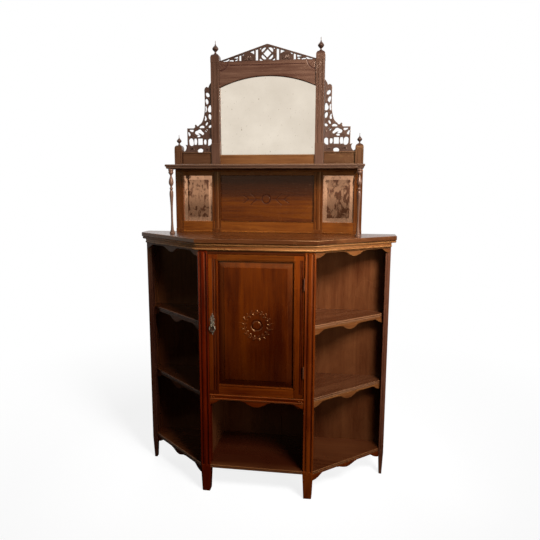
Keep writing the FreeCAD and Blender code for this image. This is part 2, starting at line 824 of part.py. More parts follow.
def make_hinges():
    third = s.hinge_high / 3
    bore = s.hinge_pin_radius + s.pin_clearance
    carcase, swing, pins = [], [], []
    for number, foot in enumerate(hinge_heights(), 1):
        name = f"hinge_{number}"
        top = foot + s.hinge_high
        leaf_back = s.face_y + s.door_set + s.hinge_leaf_deep
        fixed_x = (s.post_inner - s.hinge_leaf_thick, s.post_inner)
        moving_x = (s.door_right, s.door_right + s.hinge_leaf_thick)
        behind = s.face_y + s.knuckle_clearance
        ends = [(foot, foot + third - s.knuckle_clearance),
                (top - third + s.knuckle_clearance, top)]
        fixed = [board(name + "_fixed_leaf", fixed_x, (behind, leaf_back), (foot, top))]
        for place_name, (low, high) in zip(("low", "high"), ends):
            fixed.append(rod(f"{name}_{place_name}_knuckle", s.pin_x, s.pin_y, low,
                             s.knuckle_radius, high - low))
            fixed.append(board(f"{name}_{place_name}_tab", fixed_x, (s.pin_y, behind),
                               (low, high)))
        hole = rod(name + "_fixed_bore", s.pin_x, s.pin_y, foot, bore, s.hinge_high)
        carcase.append(cut(name + "_fixed", fuse(name + "_fixed_whole", *fixed), hole))
        middle = (foot + third, top - third)
        moving = [board(name + "_moving_leaf", moving_x, (s.door_face_y, leaf_back), (foot, top)),
                  rod(name + "_middle_knuckle", s.pin_x, s.pin_y, middle[0],
                      s.knuckle_radius, middle[1] - middle[0]),
                  board(name + "_middle_tab", moving_x, (s.pin_y, s.door_face_y), middle)]
        hole = rod(name + "_moving_bore", s.pin_x, s.pin_y, foot, bore, s.hinge_high)
        swing.append(cut(name + "_moving", fuse(name + "_moving_whole", *moving), hole))
        pins.append(rod(name + "_pin", s.pin_x, s.pin_y, foot,
                        s.hinge_pin_radius, s.hinge_high))
    return [group("carcase_hinge_leaves", *carcase), group("door_hinge_leaves", *swing),
            group("hinge_pins", *pins)]


# ---------------------------------------------------------------- lock and handle

def make_lock():
    bolt_x = (s.door_left + s.bolt_clearance / 2,
              s.door_left + s.bolt_clearance / 2 + s.bolt_long)
    bolt_y = (s.lock_mid_y - s.bolt_thick / 2, s.lock_mid_y + s.bolt_thick / 2)
    bolt_z = (s.lock_height - s.bolt_high / 2, s.lock_height + s.bolt_high / 2)

    def around(bounds, gap):
        return (bounds[0] - gap, bounds[1] + gap)

    case = board("lock_block", (s.door_left, s.door_left + s.lock_deep),
                 (s.lock_mid_y - s.lock_thick / 2, s.lock_mid_y + s.lock_thick / 2),
                 (s.lock_height - s.lock_high / 2, s.lock_height + s.lock_high / 2))
    channel = board("bolt_channel", (s.door_left, bolt_x[1] + s.bolt_clearance),
                    around(bolt_y, s.bolt_clearance), around(bolt_z, s.bolt_clearance))
    bolt = board("lock_bolt", bolt_x, bolt_y, bolt_z)
    plate = board("strike_blank", (-s.post_inner, -s.post_inner + s.strike_thick),
                  around(bolt_y, s.strike_border), around(bolt_z, s.strike_border * 2))
    window = board("strike_window", (-s.post_inner, -s.post_inner + s.strike_thick),
                   around(bolt_y, s.bolt_clearance * 2), around(bolt_z, s.bolt_clearance * 2))
    return [cut("lock_case", case, channel), bolt, cut("strike_plate", plate, window)]


def make_handle():
    half = s.plate_wide / 2
    tall = s.plate_high / 2
    outline = [(half * 0.6, -tall * 0.72), Via(half * 0.98, -tall * 0.36),
               (half * 0.72, 0), Via(half * 0.9, tall * 0.3),
               (half * 0.5, tall * 0.66), Via(half * 0.3, tall * 0.9),
               (0, tall), Via(-half * 0.3, tall * 0.9),
               (-half * 0.5, tall * 0.66), Via(-half * 0.9, tall * 0.3),
               (-half * 0.72, 0), Via(-half * 0.98, -tall * 0.36),
               (-half * 0.6, -tall * 0.72), Via(-half * 0.28, -tall * 0.86),
               (0, -tall), Via(half * 0.28, -tall * 0.86)]
    plate = upright_plate("plate_blank", outline, s.plate_thick,
                          s.plate_x, s.door_face_y - s.plate_thick, s.plate_height)
    reach = s.ring_pivot_out - s.plate_thick
    pieces = [plate]
    for name, sign in (("left", -1), ("right", 1)):
        near = s.plate_x + sign * (s.eye_long / 2 + s.ear_clearance)
        far = near + sign * s.ear_thick
        low, high = (near, far) if sign > 0 else (far, near)
        pieces.append(rod(f"ear_{name}", low, s.ring_y, s.ring_pivot_height,
                          s.ear_radius, s.ear_thick, "x"))
        pieces.append(board(f"ear_{name}_root", (low, high), (s.ring_y, s.ring_y + reach),
                            (s.ring_pivot_height - s.ear_radius,
                             s.ring_pivot_height + s.ear_radius)))
    span = s.eye_long + 2 * s.ear_clearance + 2 * s.ear_thick
    pieces.append(rod("ring_pivot_pin", s.plate_x - span / 2, s.ring_y, s.ring_pivot_height,
                      s.eye_pin_radius, span, "x"))
    fixed = fuse("handle_plate", *pieces)

    drop = s.ring_neck + s.ring_radius
    loop = doc.addObject("Part::Torus", "ring_loop")
    bind(loop, "Radius1", s.ring_radius)
    bind(loop, "Radius2", s.ring_wire)
    place(loop, s.plate_x, s.ring_y, s.ring_pivot_height - drop)
    loop.Placement.Rotation = FreeCAD.Rotation(Vector(1, 0, 0), 90)
    eye = rod("ring_eye", s.plate_x - s.eye_long / 2, s.ring_y, s.ring_pivot_height,
              s.eye_radius, s.eye_long, "x")
    slim = s.ring_wire * 0.7
    neck = board("ring_neck", (s.plate_x - slim, s.plate_x + slim),
                 (s.ring_y - slim, s.ring_y + slim),
                 (s.ring_pivot_height - s.ring_neck, s.ring_pivot_height))
    hole = rod("ring_eye_bore", s.plate_x - s.eye_long / 2, s.ring_y, s.ring_pivot_height,
               s.eye_pin_radius + s.pin_clearance, s.eye_long, "x")
    ring = cut("handle_ring", fuse("ring_whole", loop, eye, neck), hole)
    return [fixed, ring]


# ---------------------------------------------------------------- superstructure frame

def make_lower_frame():
    frame = (s.frame_y, s.frame_back_y)
    wide = (-s.short_outer, s.short_outer)
    height = (s.lower_panel_foot, s.lower_panel_head)
    foot_rail = board("lower_rail", wide, frame, (s.top_height, s.lower_panel_foot))
    head_rail = board("lower_head_rail", wide, frame,
                      (s.lower_panel_head, s.mirror_shelf_under))
    inner = board("inner_stile", (s.inner_post_edge, s.tall_outer), frame, height)
    outer = board("outer_stile", (s.short_inner, s.short_outer), frame, height)
    stiles = group("lower_stiles", inner, outer, mirrored("inner_stile_left", inner),
                   mirrored("outer_stile_left", outer))
    panel_y = (s.frame_y + s.glass_set, s.frame_y + s.glass_set + s.centre_panel_thick)
    glass_y = (s.frame_y + s.glass_set, s.frame_y + s.glass_set + s.glass_thick)
    panel = board("centre_panel", (-s.inner_post_edge, s.inner_post_edge), panel_y, height)
    glass = board("side_mirror_right", (s.tall_outer, s.short_inner), glass_y, height)
    backing = board("lower_backing", wide, (s.frame_back_y, s.rear_y),
                    (s.top_height, s.mirror_shelf_under))
    return [foot_rail, head_rail, stiles, panel,
            group("side_mirrors", glass, mirrored("side_mirror_left", glass)), backing]


def make_mirror_shelf():
    shelf = flat_plate("mirror_shelf",
                       both_sides([(s.mirror_shelf_half, s.mirror_shelf_y),
                                   (s.mirror_shelf_half, s.rear_y)]),
                       s.mirror_shelf_under, s.mirror_shelf_top)
    dress_edges(shelf, "Chamfer", as_size(0), s.shelf_nose, not_at_back)
    return [shelf]


def capped_post(label, x, top):
    """A square post that stands on the shelf, with a bevelled cap."""
    plan = [(x[0], s.upper_post_y), (x[1], s.upper_post_y), (x[1], s.rear_y), (x[0], s.rear_y)]
    post = flat_plate(label, plan, s.mirror_shelf_top, top)
    dress_edges(post, "Chamfer", top - s.mirror_shelf_top, s.post_cap_cut, lambda point: True)
    return post


def make_upper_frame():
    frame = (s.frame_y, s.frame_back_y)
    tall = capped_post("tall_post_right", (s.inner_post_edge, s.tall_outer), s.tall_post_top)
    short = capped_post("short_post_right", (s.short_inner, s.short_outer), s.short_post_top)
    between = (-s.inner_post_edge, s.inner_post_edge)
    rail = board("mirror_rail", between, frame, (s.mirror_shelf_top, s.mirror_foot))
    side_rail = board("side_rail_right", (s.tall_outer, s.short_inner), frame,
                      (s.mirror_shelf_top, s.side_rail_top))
    half = s.inner_post_edge
    crown = s.arch_spring + s.arch_rise
    arch = upright_plate("arch_rail",
                         [(-half, s.arch_spring), Via(0, crown), (half, s.arch_spring),
                          (half, s.arch_rail_top), (-half, s.arch_rail_top)],
                         s.frame_thick, y=s.frame_y)
    gap = s.arch_clearance
    glass = upright_plate("main_mirror",
                          [(-half, s.mirror_foot), (half, s.mirror_foot),
                           (half, s.arch_spring - gap), Via(0, crown - gap),
                           (-half, s.arch_spring - gap)],
                          s.glass_thick, y=s.frame_y + s.glass_set)
    backing = board("mirror_backing", between, (s.frame_back_y, s.rear_y),
                    (s.mirror_shelf_top, s.arch_rail_top))
    return [tall, mirrored("tall_post_left", tall),
            group("short_posts", short, mirrored("short_post_left", short)), rail, group("side_rails", side_rail, mirrored("side_rail_left", side_rail)),
            arch, glass, backing]


# ---------------------------------------------------------------- turned work

def make_columns():
    tall = s.mirror_shelf_under - s.top_height
    foot, waist, swell = s.column_foot_radius, s.column_waist_radius, s.column_swell_radius
    bead, bulb, collar = s.column_bead_radius, s.column_bulb_radius, s.column_collar_radius
    bead_z = tall - s.column_bead_down
    bulb_z = tall - s.column_bulb_down
    path = [(0, 0), (foot, 0), (foot, s.column_foot_high),
            Via(waist + 1.5, s.column_flare_high * 0.5), (waist, s.column_flare_high),
            (swell, tall - s.column_swell_down), Via(waist + 1.5, bead_z - 12),
            (waist, bead_z - 6), (bead, bead_z), (waist, bead_z + 6),
            Via(bulb * 0.85, bulb_z - 12), (bulb, bulb_z),
            Via(bulb * 0.7, bulb_z + 14), (waist, tall - s.column_neck_down),
            (collar, tall - s.column_collar_high), (collar, tall), (0, tall)]
    x = s.mirror_shelf_half - s.column_in
    column = turned("column_right", path, x, s.mirror_shelf_y + s.column_back, s.top_height)
    return [column, mirrored("column_left", column)]


def finial(label, x, foot, share):
    """A spiked ball on a slim neck."""
    ball, up = s.finial_ball_radius * share, s.finial_ball_up * share
    neck, tip = s.finial_neck_radius * share, s.finial_tip_radius
    high = s.finial_high * share
    path = [(0, 0), (s.finial_foot_radius * share, 0), (neck, up - ball * 0.95),
            Via(ball * 0.8, up - ball * 0.55), (ball, up),
            Via(ball * 0.72, up + ball * 0.5), (tip * 1.6, up + ball * 0.95),
            (tip, high), (0, high)]
    return turned(label, path, x, s.rear_y - s.upper_post_deep / 2, foot)


def make_finials():
    tall_x = s.inner_post_edge + s.tall_post_wide / 2
    tall = finial("finial_tall", tall_x, s.tall_post_top, as_size(1))
    short = finial("finial_short", s.short_post_middle, s.short_post_top, s.finial_small)
    return [group("finials", tall, short, mirrored("finial_tall_left", tall),
                  mirrored("finial_short_left", short))]


# ---------------------------------------------------------------- pierced work

def light(left, right, low, high, bulge_left=0, bulge_right=0):
    """An upright opening whose sides are straight or bowed."""
    middle = (as_size(low) + high) / 2
    path = [(left, low), (right, low)]
    if bulge_right:
        path.append(Via(right + bulge_right, middle))
    path += [(right, high), (left, high)]
    if bulge_left:
        path.append(Via(left - bulge_left, middle))
    return path


def eye_of(x, z, wide, high):
    """A pointed oval opening around a middle."""
    return [(x - wide / 2, z), Via(x, z - high / 2), (x + wide / 2, z), Via(x, z + high / 2)]


def make_fret():
    """A pierced bracket on the side rail against the tall post."""
    foot = s.side_rail_top
    corner = s.fret_corner_out
    top = s.fret_corner_top
    neck = s.fret_neck_out
    bar = s.fret_bar
    wall = s.short_inner - s.tall_outer
    outline = [(0, foot), (wall, foot), (wall, foot + bar * 2),
               Via(wall - bar, foot + bar), (wall - bar * 1.5, foot + bar * 1.75),
               (s.fret_horn_out, s.fret_horn_top), (corner, s.fret_horn_top - bar * 0.75),
               (corner, top), (s.fret_sweep_out, top + bar * 0.5),
               Via(neck + bar * 1.5, top + bar * 4), (neck, s.fret_sweep_top),
               (neck, s.fret_top - bar / 2), (neck - bar / 2, s.fret_top),
               (bar, s.fret_top), Via(bar * 0.6, s.fret_top + s.fret_ear_high / 2),
               (0, s.fret_top + s.fret_ear_high)]
    fret = upright_plate("fret_right", outline, s.fret_thick,
                         s.tall_outer, s.frame_y + s.fret_set)
    low, high = s.fret_lights_foot, s.fret_lights_top
    lights = [light(bar * 0.6, bar * 1.7, low, high, 0, bar * 0.5),
              light(bar * 3.4, bar * 4.2, low + bar / 2, high - bar / 2, bar * 0.25, bar * 0.3),
              light(bar * 5.4, bar * 8.2, low, high),
              light(bar * 9.2, bar * 10, low + bar / 2, high - bar / 2, bar * 0.3, bar * 0.25),
              light(bar * 11.4, corner - bar, low, high, bar * 0.5, 0)]
    openings = lights + [
        eye_of(bar * 7, foot + bar * 1.5, bar * 3.2, bar * 2),
        [(bar * 4.6, top - bar * 3.4), (bar * 10, top - bar * 3.4),
         Via(bar * 8.8, top - bar * 1.2), (bar * 7.3, top - bar * 0.8),
         Via(bar * 5.8, top - bar * 1.2)],
        eye_of(bar * 3.1, top - bar * 1.4, bar * 1.4, bar * 1.4),
        light(corner - bar * 3.4, corner - bar, top - bar * 4.4, top - bar, -bar * 0.4, 0),
        eye_of(bar * 5.6, top + bar * 0.7, bar * 3.4, bar * 0.9),
        eye_of(bar * 1.2, top + bar * 0.9, bar * 1.6, bar * 1.7),
        light(bar * 0.6, bar * 1.6, top + bar * 4.6, top + bar * 8, 0, bar * 0.3),
        light(bar * 0.6, bar * 1.6, top + bar * 9, top + bar * 13, 0, bar * 0.4),
        light(bar * 0.8, neck - bar * 0.8, top + bar * 14.5, top + bar * 16.5),
        light(bar * 0.8, neck - bar * 0.8, top + bar * 17.5, top + bar * 20.5)]
    sketch = new_sketch(fret, "XZ_Plane", "Piercings")
    for opening in openings:
        trace(sketch, opening)
    pocket(fret, sketch)
    return [fret, mirrored("fret_left", fret)]


def make_pediment():
    """A pierced gable on the arched rail, between the tall posts."""
    half = s.inner_post_edge
    peak = s.pediment_high
    end = s.pediment_end
    bar = s.pediment_bar
    gable = upright_plate("pediment",
                          [(-half, 0), (half, 0), (half, end), (0, peak), (-half, end)],
                          s.pediment_thick, y=s.frame_y + s.fret_set, z=s.arch_rail_top)
    eye = s.pediment_eye
    eye_z = peak * 0.46
    square = eye * 1.1
    slope = (peak - end) / half
    sketch = new_sketch(gable, "XZ_Plane", "Piercings")
    trace(sketch, [(-eye, eye_z), (0, eye_z - eye), (eye, eye_z), (0, eye_z + eye)])
    for side in (-1, 1):
        for level in (-1, 1):
            middle = (side * square, eye_z + level * square)
            trace(sketch, [(middle[0] - bar, middle[1] + side * level * bar),
                           Via(middle[0] + side * bar * 0.4, middle[1] + level * bar * 0.4),
                           (middle[0] + bar, middle[1] - side * level * bar),
                           Via(middle[0] - side * bar * 0.4, middle[1] - level * bar * 0.4)])
        for near, far in ((half * 0.2, half * 0.25), (half * 0.52, half * 0.57),
                          (half * 0.62, half * 0.8)):
            span = (near, far, peak - bar * 1.6 - near * slope, peak - bar * 1.6 - far * slope)
            trace(sketch, [(side * span[0], bar * 0.6), (side * span[1], bar * 0.6),
                           (side * span[1], span[3]), (side * span[0], span[2])])
    pocket(gable, sketch)
    return [gable]


# ---------------------------------------------------------------- all pieces

def check(piece):
    shape = piece.Shape
    if shape.isNull() or not shape.isValid() or shape.Volume <= 0:
        raise RuntimeError(f"{piece.Label}: its shape isn't a valid solid")


def main():
    makers = (make_top, make_posts, make_boards, make_cupboard, make_aprons, make_door,
              make_hinges, make_lock, make_handle, make_lower_frame, make_mirror_shelf,
              make_upper_frame, make_columns, make_finials, make_fret, make_pediment)
    pieces = []
    for maker in makers:
        pieces.extend(maker())
    doc.recompute()
    for item in doc.Objects:
        if "Invalid" in item.State or "Error" in item.State:
            raise RuntimeError(f"{item.Label}: {item.State}")
    for piece in pieces:
        check(piece)
    os.makedirs("parts", exist_ok=True)
    for piece in pieces:
        piece.Shape.exportStep(f"parts/{piece.Label}.step")
    print(len(pieces), "parts written")


main()
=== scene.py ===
"""Looks of a mirror-backed mahogany chiffonier: joinery, carving, turned work and finishes.

Lengths in this file are millimetres unless a name or a property says otherwise.
"""
import math

import bmesh
import bpy
from mathutils import Matrix, Vector


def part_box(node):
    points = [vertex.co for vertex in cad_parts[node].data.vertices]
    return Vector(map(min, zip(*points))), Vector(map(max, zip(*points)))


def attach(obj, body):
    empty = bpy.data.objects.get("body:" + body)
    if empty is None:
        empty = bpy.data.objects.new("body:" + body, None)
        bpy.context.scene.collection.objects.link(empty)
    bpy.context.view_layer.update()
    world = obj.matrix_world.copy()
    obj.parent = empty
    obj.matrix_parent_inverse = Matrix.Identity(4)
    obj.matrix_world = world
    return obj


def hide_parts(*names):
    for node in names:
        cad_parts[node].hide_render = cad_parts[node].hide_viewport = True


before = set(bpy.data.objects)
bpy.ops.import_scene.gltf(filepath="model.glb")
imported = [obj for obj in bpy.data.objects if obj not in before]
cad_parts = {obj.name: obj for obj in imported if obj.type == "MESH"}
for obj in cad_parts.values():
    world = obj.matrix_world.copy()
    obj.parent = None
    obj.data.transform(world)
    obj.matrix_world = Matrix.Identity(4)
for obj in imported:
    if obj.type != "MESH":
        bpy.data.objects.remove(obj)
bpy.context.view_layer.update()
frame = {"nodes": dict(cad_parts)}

bl_info = {
    "name": "Mahogany chiffonier",
    "version": (1, 0, 0),
    "blender": (4, 5, 0),
    "location": "View3D > Sidebar > Chiffonier",
    "description": "Builds the visible joinery of a mirror-backed chiffonier",
    "category": "Object",
}

MM = 0.001
QUARTER = math.pi / 2
TURNED_STEPS = 40
GRAIN_STEP = 0.618
CARCASE = "mahogany_carcase"
UPPER = "mahogany_superstructure"
PLAIN = "plain_boards"
GLASS = "mirror_glass"
BRASS = "aged_brass"


def span(node):
    """A frame node's lowest and highest corners."""
    low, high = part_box(node)
    return low / MM, high / MM


def reach(node):
    """A frame node's lowest and highest corners to a tenth of a millimetre."""
    return [tuple(round(value, 1) for value in corner) for corner in span(node)]


def verts_of(parts):
    """The corners among what a bmesh operator made."""
    return [part for part in parts if isinstance(part, bmesh.types.BMVert)]


def even(low, high, count):
    """The joints of equal boards from low to high."""
    return [low + (high - low) * number / count for number in range(count + 1)]


def paint(red, green, blue):
    """A screen colour, 0 to 255, as a scene-linear one."""
    return tuple(((part / 255 + 0.055) / 1.055) ** 2.4 if part > 10 else part / 255 / 12.92
                 for part in (red, green, blue))


# ---------------------------------------------------------------- settings

def length(name, description, default):
    return bpy.props.FloatProperty(name=name, description=description, default=default * MM,
                                   min=0, precision=4, unit="LENGTH")


def colour(name, description, default):
    return bpy.props.FloatVectorProperty(name=name, description=description, default=default,
                                         size=3, min=0, max=1, subtype="COLOR")


def share(name, description, default):
    return bpy.props.FloatProperty(name=name, description=description, default=default,
                                   min=0, max=1, subtype="FACTOR")


class ChiffonierSizes(bpy.types.PropertyGroup):
    """Sizes that a maker would change."""
    easing: length("Eased edges", "Rounding of every sharp edge", 0.9)
    top_round: length("Top's thumb moulding", "Rounding of the top's upper edge", 3.5)
    reed_rise: length("Reed height", "How far the reeds on the posts stand up", 1.6)
    bead: length("Bead", "Width of the bead around panels and mirrors", 4)
    leaf_rise: length("Leaf height", "How far the carved leaves stand up", 2.1)
    line_depth: length("Carved line depth", "Depth of the incised ornament", 1.8)
    glass_bevel: length("Bevel of the side mirrors", "Width of their ground edge", 19)


class ChiffonierFinishes(bpy.types.PropertyGroup):
    """Colours of the polished wood, glass and metal."""
    door: colour("Door", "Mahogany of the door's panel", paint(75, 25, 1))
    frame: colour("Posts and rails", "Mahogany of the carcase's frame", paint(87, 29, 2))
    moulding: colour("Mouldings", "Golden wood of the frieze and shelf edges", paint(108, 62, 30))
    top: colour("Top", "Mahogany of the countertop", paint(75, 38, 17))
    boards: colour("Inner boards", "Shelves, sides and backs of the niches", paint(92, 50, 26))
    upper: colour("Superstructure", "Posts, rails and columns", paint(67, 42, 29))
    centre: colour("Centre panel", "Incised panel under the shelf", paint(76, 32, 0))
    outer: colour("Outer posts", "Slim posts at the corners", paint(90, 52, 36))
    pierced: colour("Pierced work", "Frets, pediment and finials", paint(60, 40, 31))
    lower: colour("Lower frame", "Rails and stiles between top and shelf", paint(92, 44, 10))
    plain: colour("Plain boards", "Unpolished boards at the back", paint(128, 92, 60))
    brass: colour("Brass", "Handle and hinges", paint(196, 178, 152))
    steel: colour("Steel", "Lock and its bolt", paint(120, 118, 114))
    glass: colour("Main mirror", "Silvering of the main mirror", paint(230, 220, 205))
    old_glass: colour("Side mirrors", "Silvering of the side mirrors", paint(168, 122, 90))
    gloss: share("Specular level", "Strength of the polish", 0.5)


class ChiffonierStage(bpy.types.PropertyGroup):
    """Camera, lamps and floor."""
    camera: bpy.props.FloatVectorProperty(
        name="Camera", description="Place of the camera", size=3, subtype="TRANSLATION",
        unit="LENGTH", default=(0.3548, -2.2391, 1.3274))
    aim: bpy.props.FloatVectorProperty(
        name="Yaw, pitch, roll", description="Direction of the camera", size=3,
        subtype="EULER", unit="ROTATION", default=(-0.141, -0.155, 0.003))
    lens: bpy.props.FloatProperty(name="Lens", description="Focal length on a 36 mm sensor",
                                  default=34.86, subtype="DISTANCE_CAMERA")
    key_power: bpy.props.FloatProperty(name="Key light", description="Power of the main lamp",
                                       default=30, min=0, unit="POWER")
    side_power: bpy.props.FloatProperty(name="Side light", description="Power of the side lamp",
                                        default=36, min=0, unit="POWER")
    back_power: bpy.props.FloatProperty(name="Back light", description="Power of the back lamp",
                                        default=30, min=0, unit="POWER")
    fill: share("Fill", "Strength of the light from all round", 0.008)
    low_world: share("Low surroundings", "Brightness that polish reflects from below eye level",
                     0.12)
    floor: colour("Floor", "Colour of the floor", (0.86, 0.86, 0.86))


# ---------------------------------------------------------------- finishes

class Finish:
    """A material's nodes, added one after another."""

    def __init__(self, name):
        self.material = bpy.data.materials.new(name)
        self.material.use_nodes = True
        self.tree = self.material.node_tree
        self.tree.nodes.clear()

    def add(self, kind, wires=None, **settings):
        node = self.tree.nodes.new("ShaderNode" + kind)
        for name, value in settings.items():
            setattr(node, name, value)
        for socket, value in (wires or {}).items():
            if isinstance(value, bpy.types.NodeSocket):
                self.tree.links.new(value, node.inputs[socket])
            else:
                node.inputs[socket].default_value = value
        return node

    def place(self):
        return self.add("TexCoord").outputs["Object"]

    def given(self, name):
        return self.add("Attribute", attribute_name=name).outputs["Fac"]

    def maths(self, operation, first, second=0.0, clamp=False):
        return self.add("Math", {0: first, 1: second}, operation=operation,
                        use_clamp=clamp).outputs[0]

    def scaled(self, place, scale, turn=(0, 0, 0), shift=(0, 0, 0)):
        return self.add("Mapping", {"Vector": place, "Scale": scale, "Rotation": turn,
                                    "Location": shift}).outputs[0]

    def cloud(self, place, scale, detail=2.0, rough=0.5, bend=0.0):
        return self.add("TexNoise", {"Vector": place, "Scale": scale, "Detail": detail,
                                     "Roughness": rough, "Distortion": bend}).outputs["Fac"]

    def between(self, value, low, high, to_low=0.0, to_high=1.0):
        return self.add("MapRange", {"Value": value, "From Min": low, "From Max": high,
                                     "To Min": to_low, "To Max": to_high}).outputs[0]

    def blend(self, amount, first, second, kind="MIX"):
        node = self.add("Mix", data_type="RGBA", blend_type=kind)
        for socket, value in ((0, amount), (6, first), (7, second)):
            if isinstance(value, bpy.types.NodeSocket):
                self.tree.links.new(value, node.inputs[socket])
            elif socket == 0:
                node.inputs[socket].default_value = value
            else:
                node.inputs[socket].default_value = (*value, 1)
        return node.outputs[2]

    def bump(self, height, strength, distance):
        return self.add("Bump", {"Height": height, "Strength": strength,
                                 "Distance": distance}).outputs[0]

    def done(self, wires):
        shader = self.add("BsdfPrincipled", wires)
        out = self.add("OutputMaterial")
        self.tree.links.new(shader.outputs[0], out.inputs["Surface"])
        return self.material


def tinted(tone, red, green, blue):
    return tuple(min(1.0, part * factor) for part, factor in zip(tone, (red, green, blue)))


ORANGE = (1.0, 0.55, 0.22)


def mahogany(name, tone, turn=(0, 0, 0), figure=1.0, ribbon=0.5, gloss=0.5, tint=ORANGE,
             shade=(0.2, 1.0, 0.25), rough=(0.2, 0.34), coat=0.02):
    """Old polished mahogany. The grain runs along X once the pattern is turned.

    The shade holds two heights and how much painted shade darkens the wood at the first one.
    """
    wood = Finish(name)
    board = wood.given("board")
    # This mark holds rubbed wear, and also painted highlight on faces turned to the lamps.
    worn_and_lit = wood.given("wear")
    # This mark holds dirt in carving and flutes, and also painted shade in the cupboard and on the
    # panel's left and lower bevels.
    hollow = wood.given("hollow")
    apart = wood.add("CombineXYZ", {"X": wood.maths("MULTIPLY", board, 7.3),
                                    "Y": wood.maths("MULTIPLY", board, 3.1),
                                    "Z": wood.maths("MULTIPLY", board, 5.7)}).outputs[0]
    place = wood.add("VectorMath", {0: wood.scaled(wood.place(), (1, 1, 1), turn), 1: apart},
                     operation="ADD").outputs[0]
    sway = wood.cloud(wood.scaled(place, (1.6, 5, 5)), 1.0, 2.0)
    swayed = wood.add("VectorMath", {0: place, 1: wood.add(
        "CombineXYZ", {"Y": wood.between(sway, 0, 1, -0.03, 0.03),
                       "Z": wood.between(sway, 0, 1, 0.02, -0.02)}).outputs[0]},
        operation="ADD").outputs[0]
    broad = wood.cloud(wood.scaled(swayed, (1.2, 13, 13)), 1.0, 3.0, 0.55)
    streak = wood.cloud(wood.scaled(swayed, (3.5, 90, 90)), 1.0, 4.0, 0.6)
    fine = wood.cloud(wood.scaled(swayed, (14, 520, 520)), 1.0, 2.0, 0.6)
    pore = wood.cloud(wood.scaled(place, (70, 1500, 1500)), 1.0, 1.0)
    patina = wood.cloud(wood.scaled(place, (3, 4, 4)), 1.0, 3.0, 0.6)
    light = wood.maths("ADD", wood.between(broad, 0.3, 0.7, -0.5 * ribbon, 0.5 * ribbon),
                       wood.between(streak, 0.25, 0.75, -0.42 * figure, 0.42 * figure))
    light = wood.maths("ADD", light, wood.between(fine, 0.3, 0.7, -0.16, 0.16))
    light = wood.maths("ADD", light, wood.between(patina, 0.3, 0.7, -0.22, 0.22))
    light = wood.maths("ADD", light, wood.between(board, 0, 1, 0.38, 0.62), clamp=True)
    body = wood.blend(wood.between(light, 0.0, 0.5), tinted(tone, 0.46, 0.3, 0.26), tone)
    golden = 1.55 + 0.5 * (1 - 2 * tone[1] / tone[0])
    body = wood.blend(wood.between(light, 0.5, 1.0), body, tinted(tone, 1.55, golden, 1.8))
    pores = wood.between(pore, 0.62, 0.74)
    body = wood.blend(wood.maths("MULTIPLY", pores, 0.55), body, tinted(tone, 0.28, 0.2, 0.18))
    # Lighter where rubbed, and a painted highlight where faces are marked as lit.
    rubbed_and_lit = wood.maths("MULTIPLY", worn_and_lit, wood.between(streak, 0.3, 0.6, 0.35, 1.0))
    body = wood.blend(wood.maths("MULTIPLY", rubbed_and_lit, 0.75), body, tinted(tone, 1.9, 2.5, 2.7))
    # Darker for dirt, and painted shade where the mark stands in for shadow.
    body = wood.blend(wood.maths("MULTIPLY", hollow, 0.85), body, tinted(tone, 0.22, 0.04, 0.05))
    # Painted shade: the wood is darkened by height, standing in for light that falls off.
    height = wood.add("SeparateXYZ", {0: wood.place()}).outputs["Z"]
    dim = wood.between(height, shade[0], shade[1], shade[2], 0.0)
    body = wood.blend(dim, body, tinted(tone, 0.2, 0.12, 0.1))
    dull = wood.maths("ADD", wood.between(patina, 0.3, 0.7, *rough),
                      wood.maths("MULTIPLY", pores, 0.2))
    rise = wood.maths("SUBTRACT", wood.maths("MULTIPLY", fine, 0.5), pores)
    return wood.done({"Base Color": body, "Roughness": dull,
                      "Specular IOR Level": gloss, "Specular Tint": (*tint, 1),
                      "Coat Weight": coat, "Coat Roughness": 0.12,
                      "Normal": wood.bump(rise, 0.35, 0.0004)})


def silvered_glass(name, tone, spots):
    """A mirror: silvering that has aged in spots; on the side mirrors the dark patches are also a
    painted reflection, and the bevel is painted lighter as a glint.
    """
    glass = Finish(name)
    place = glass.place()
    haze = glass.cloud(glass.scaled(place, (6, 6, 6)), 1.0, 4.0, 0.6)
    speck = glass.cloud(glass.scaled(place, (90, 90, 60)), 1.0, 2.0)
    speck = glass.between(speck, 0.66 - 0.12 * spots, 0.8 - 0.12 * spots)
    tone_now = glass.blend(glass.between(haze, 0.3, 0.7), tinted(tone, 0.9, 0.88, 0.86),
                           tinted(tone, 1.04, 1.03, 1.02))
    if spots:
        # Dark patches: aged silvering, and also a painted reflection of dark things around.
        patch = glass.cloud(glass.scaled(place, (26, 26, 15)), 1.0, 3.0, 0.6, 1.5)
        tone_now = glass.blend(glass.between(patch, 0.5, 0.58, 0, 0.95 * spots), tone_now,
                               tinted(tone, 0.3, 0.2, 0.15))
        # Painted glint: the ground bevel is lighter than the field.
        tone_now = glass.blend(glass.maths("MULTIPLY", glass.given("wear"), 0.65), tone_now,
                               tinted(tone, 1.9, 2.0, 2.1))
    tone_now = glass.blend(glass.maths("MULTIPLY", speck, 0.6), tone_now,
                           tinted(tone, 0.3, 0.22, 0.16))
    rough = glass.maths("ADD", glass.between(haze, 0.3, 0.7, 0.02, 0.05),
                        glass.maths("MULTIPLY", speck, 0.25))
    return glass.done({"Base Color": tone_now, "Metallic": 0.75 if spots else 1.0,
                       "Roughness": rough})


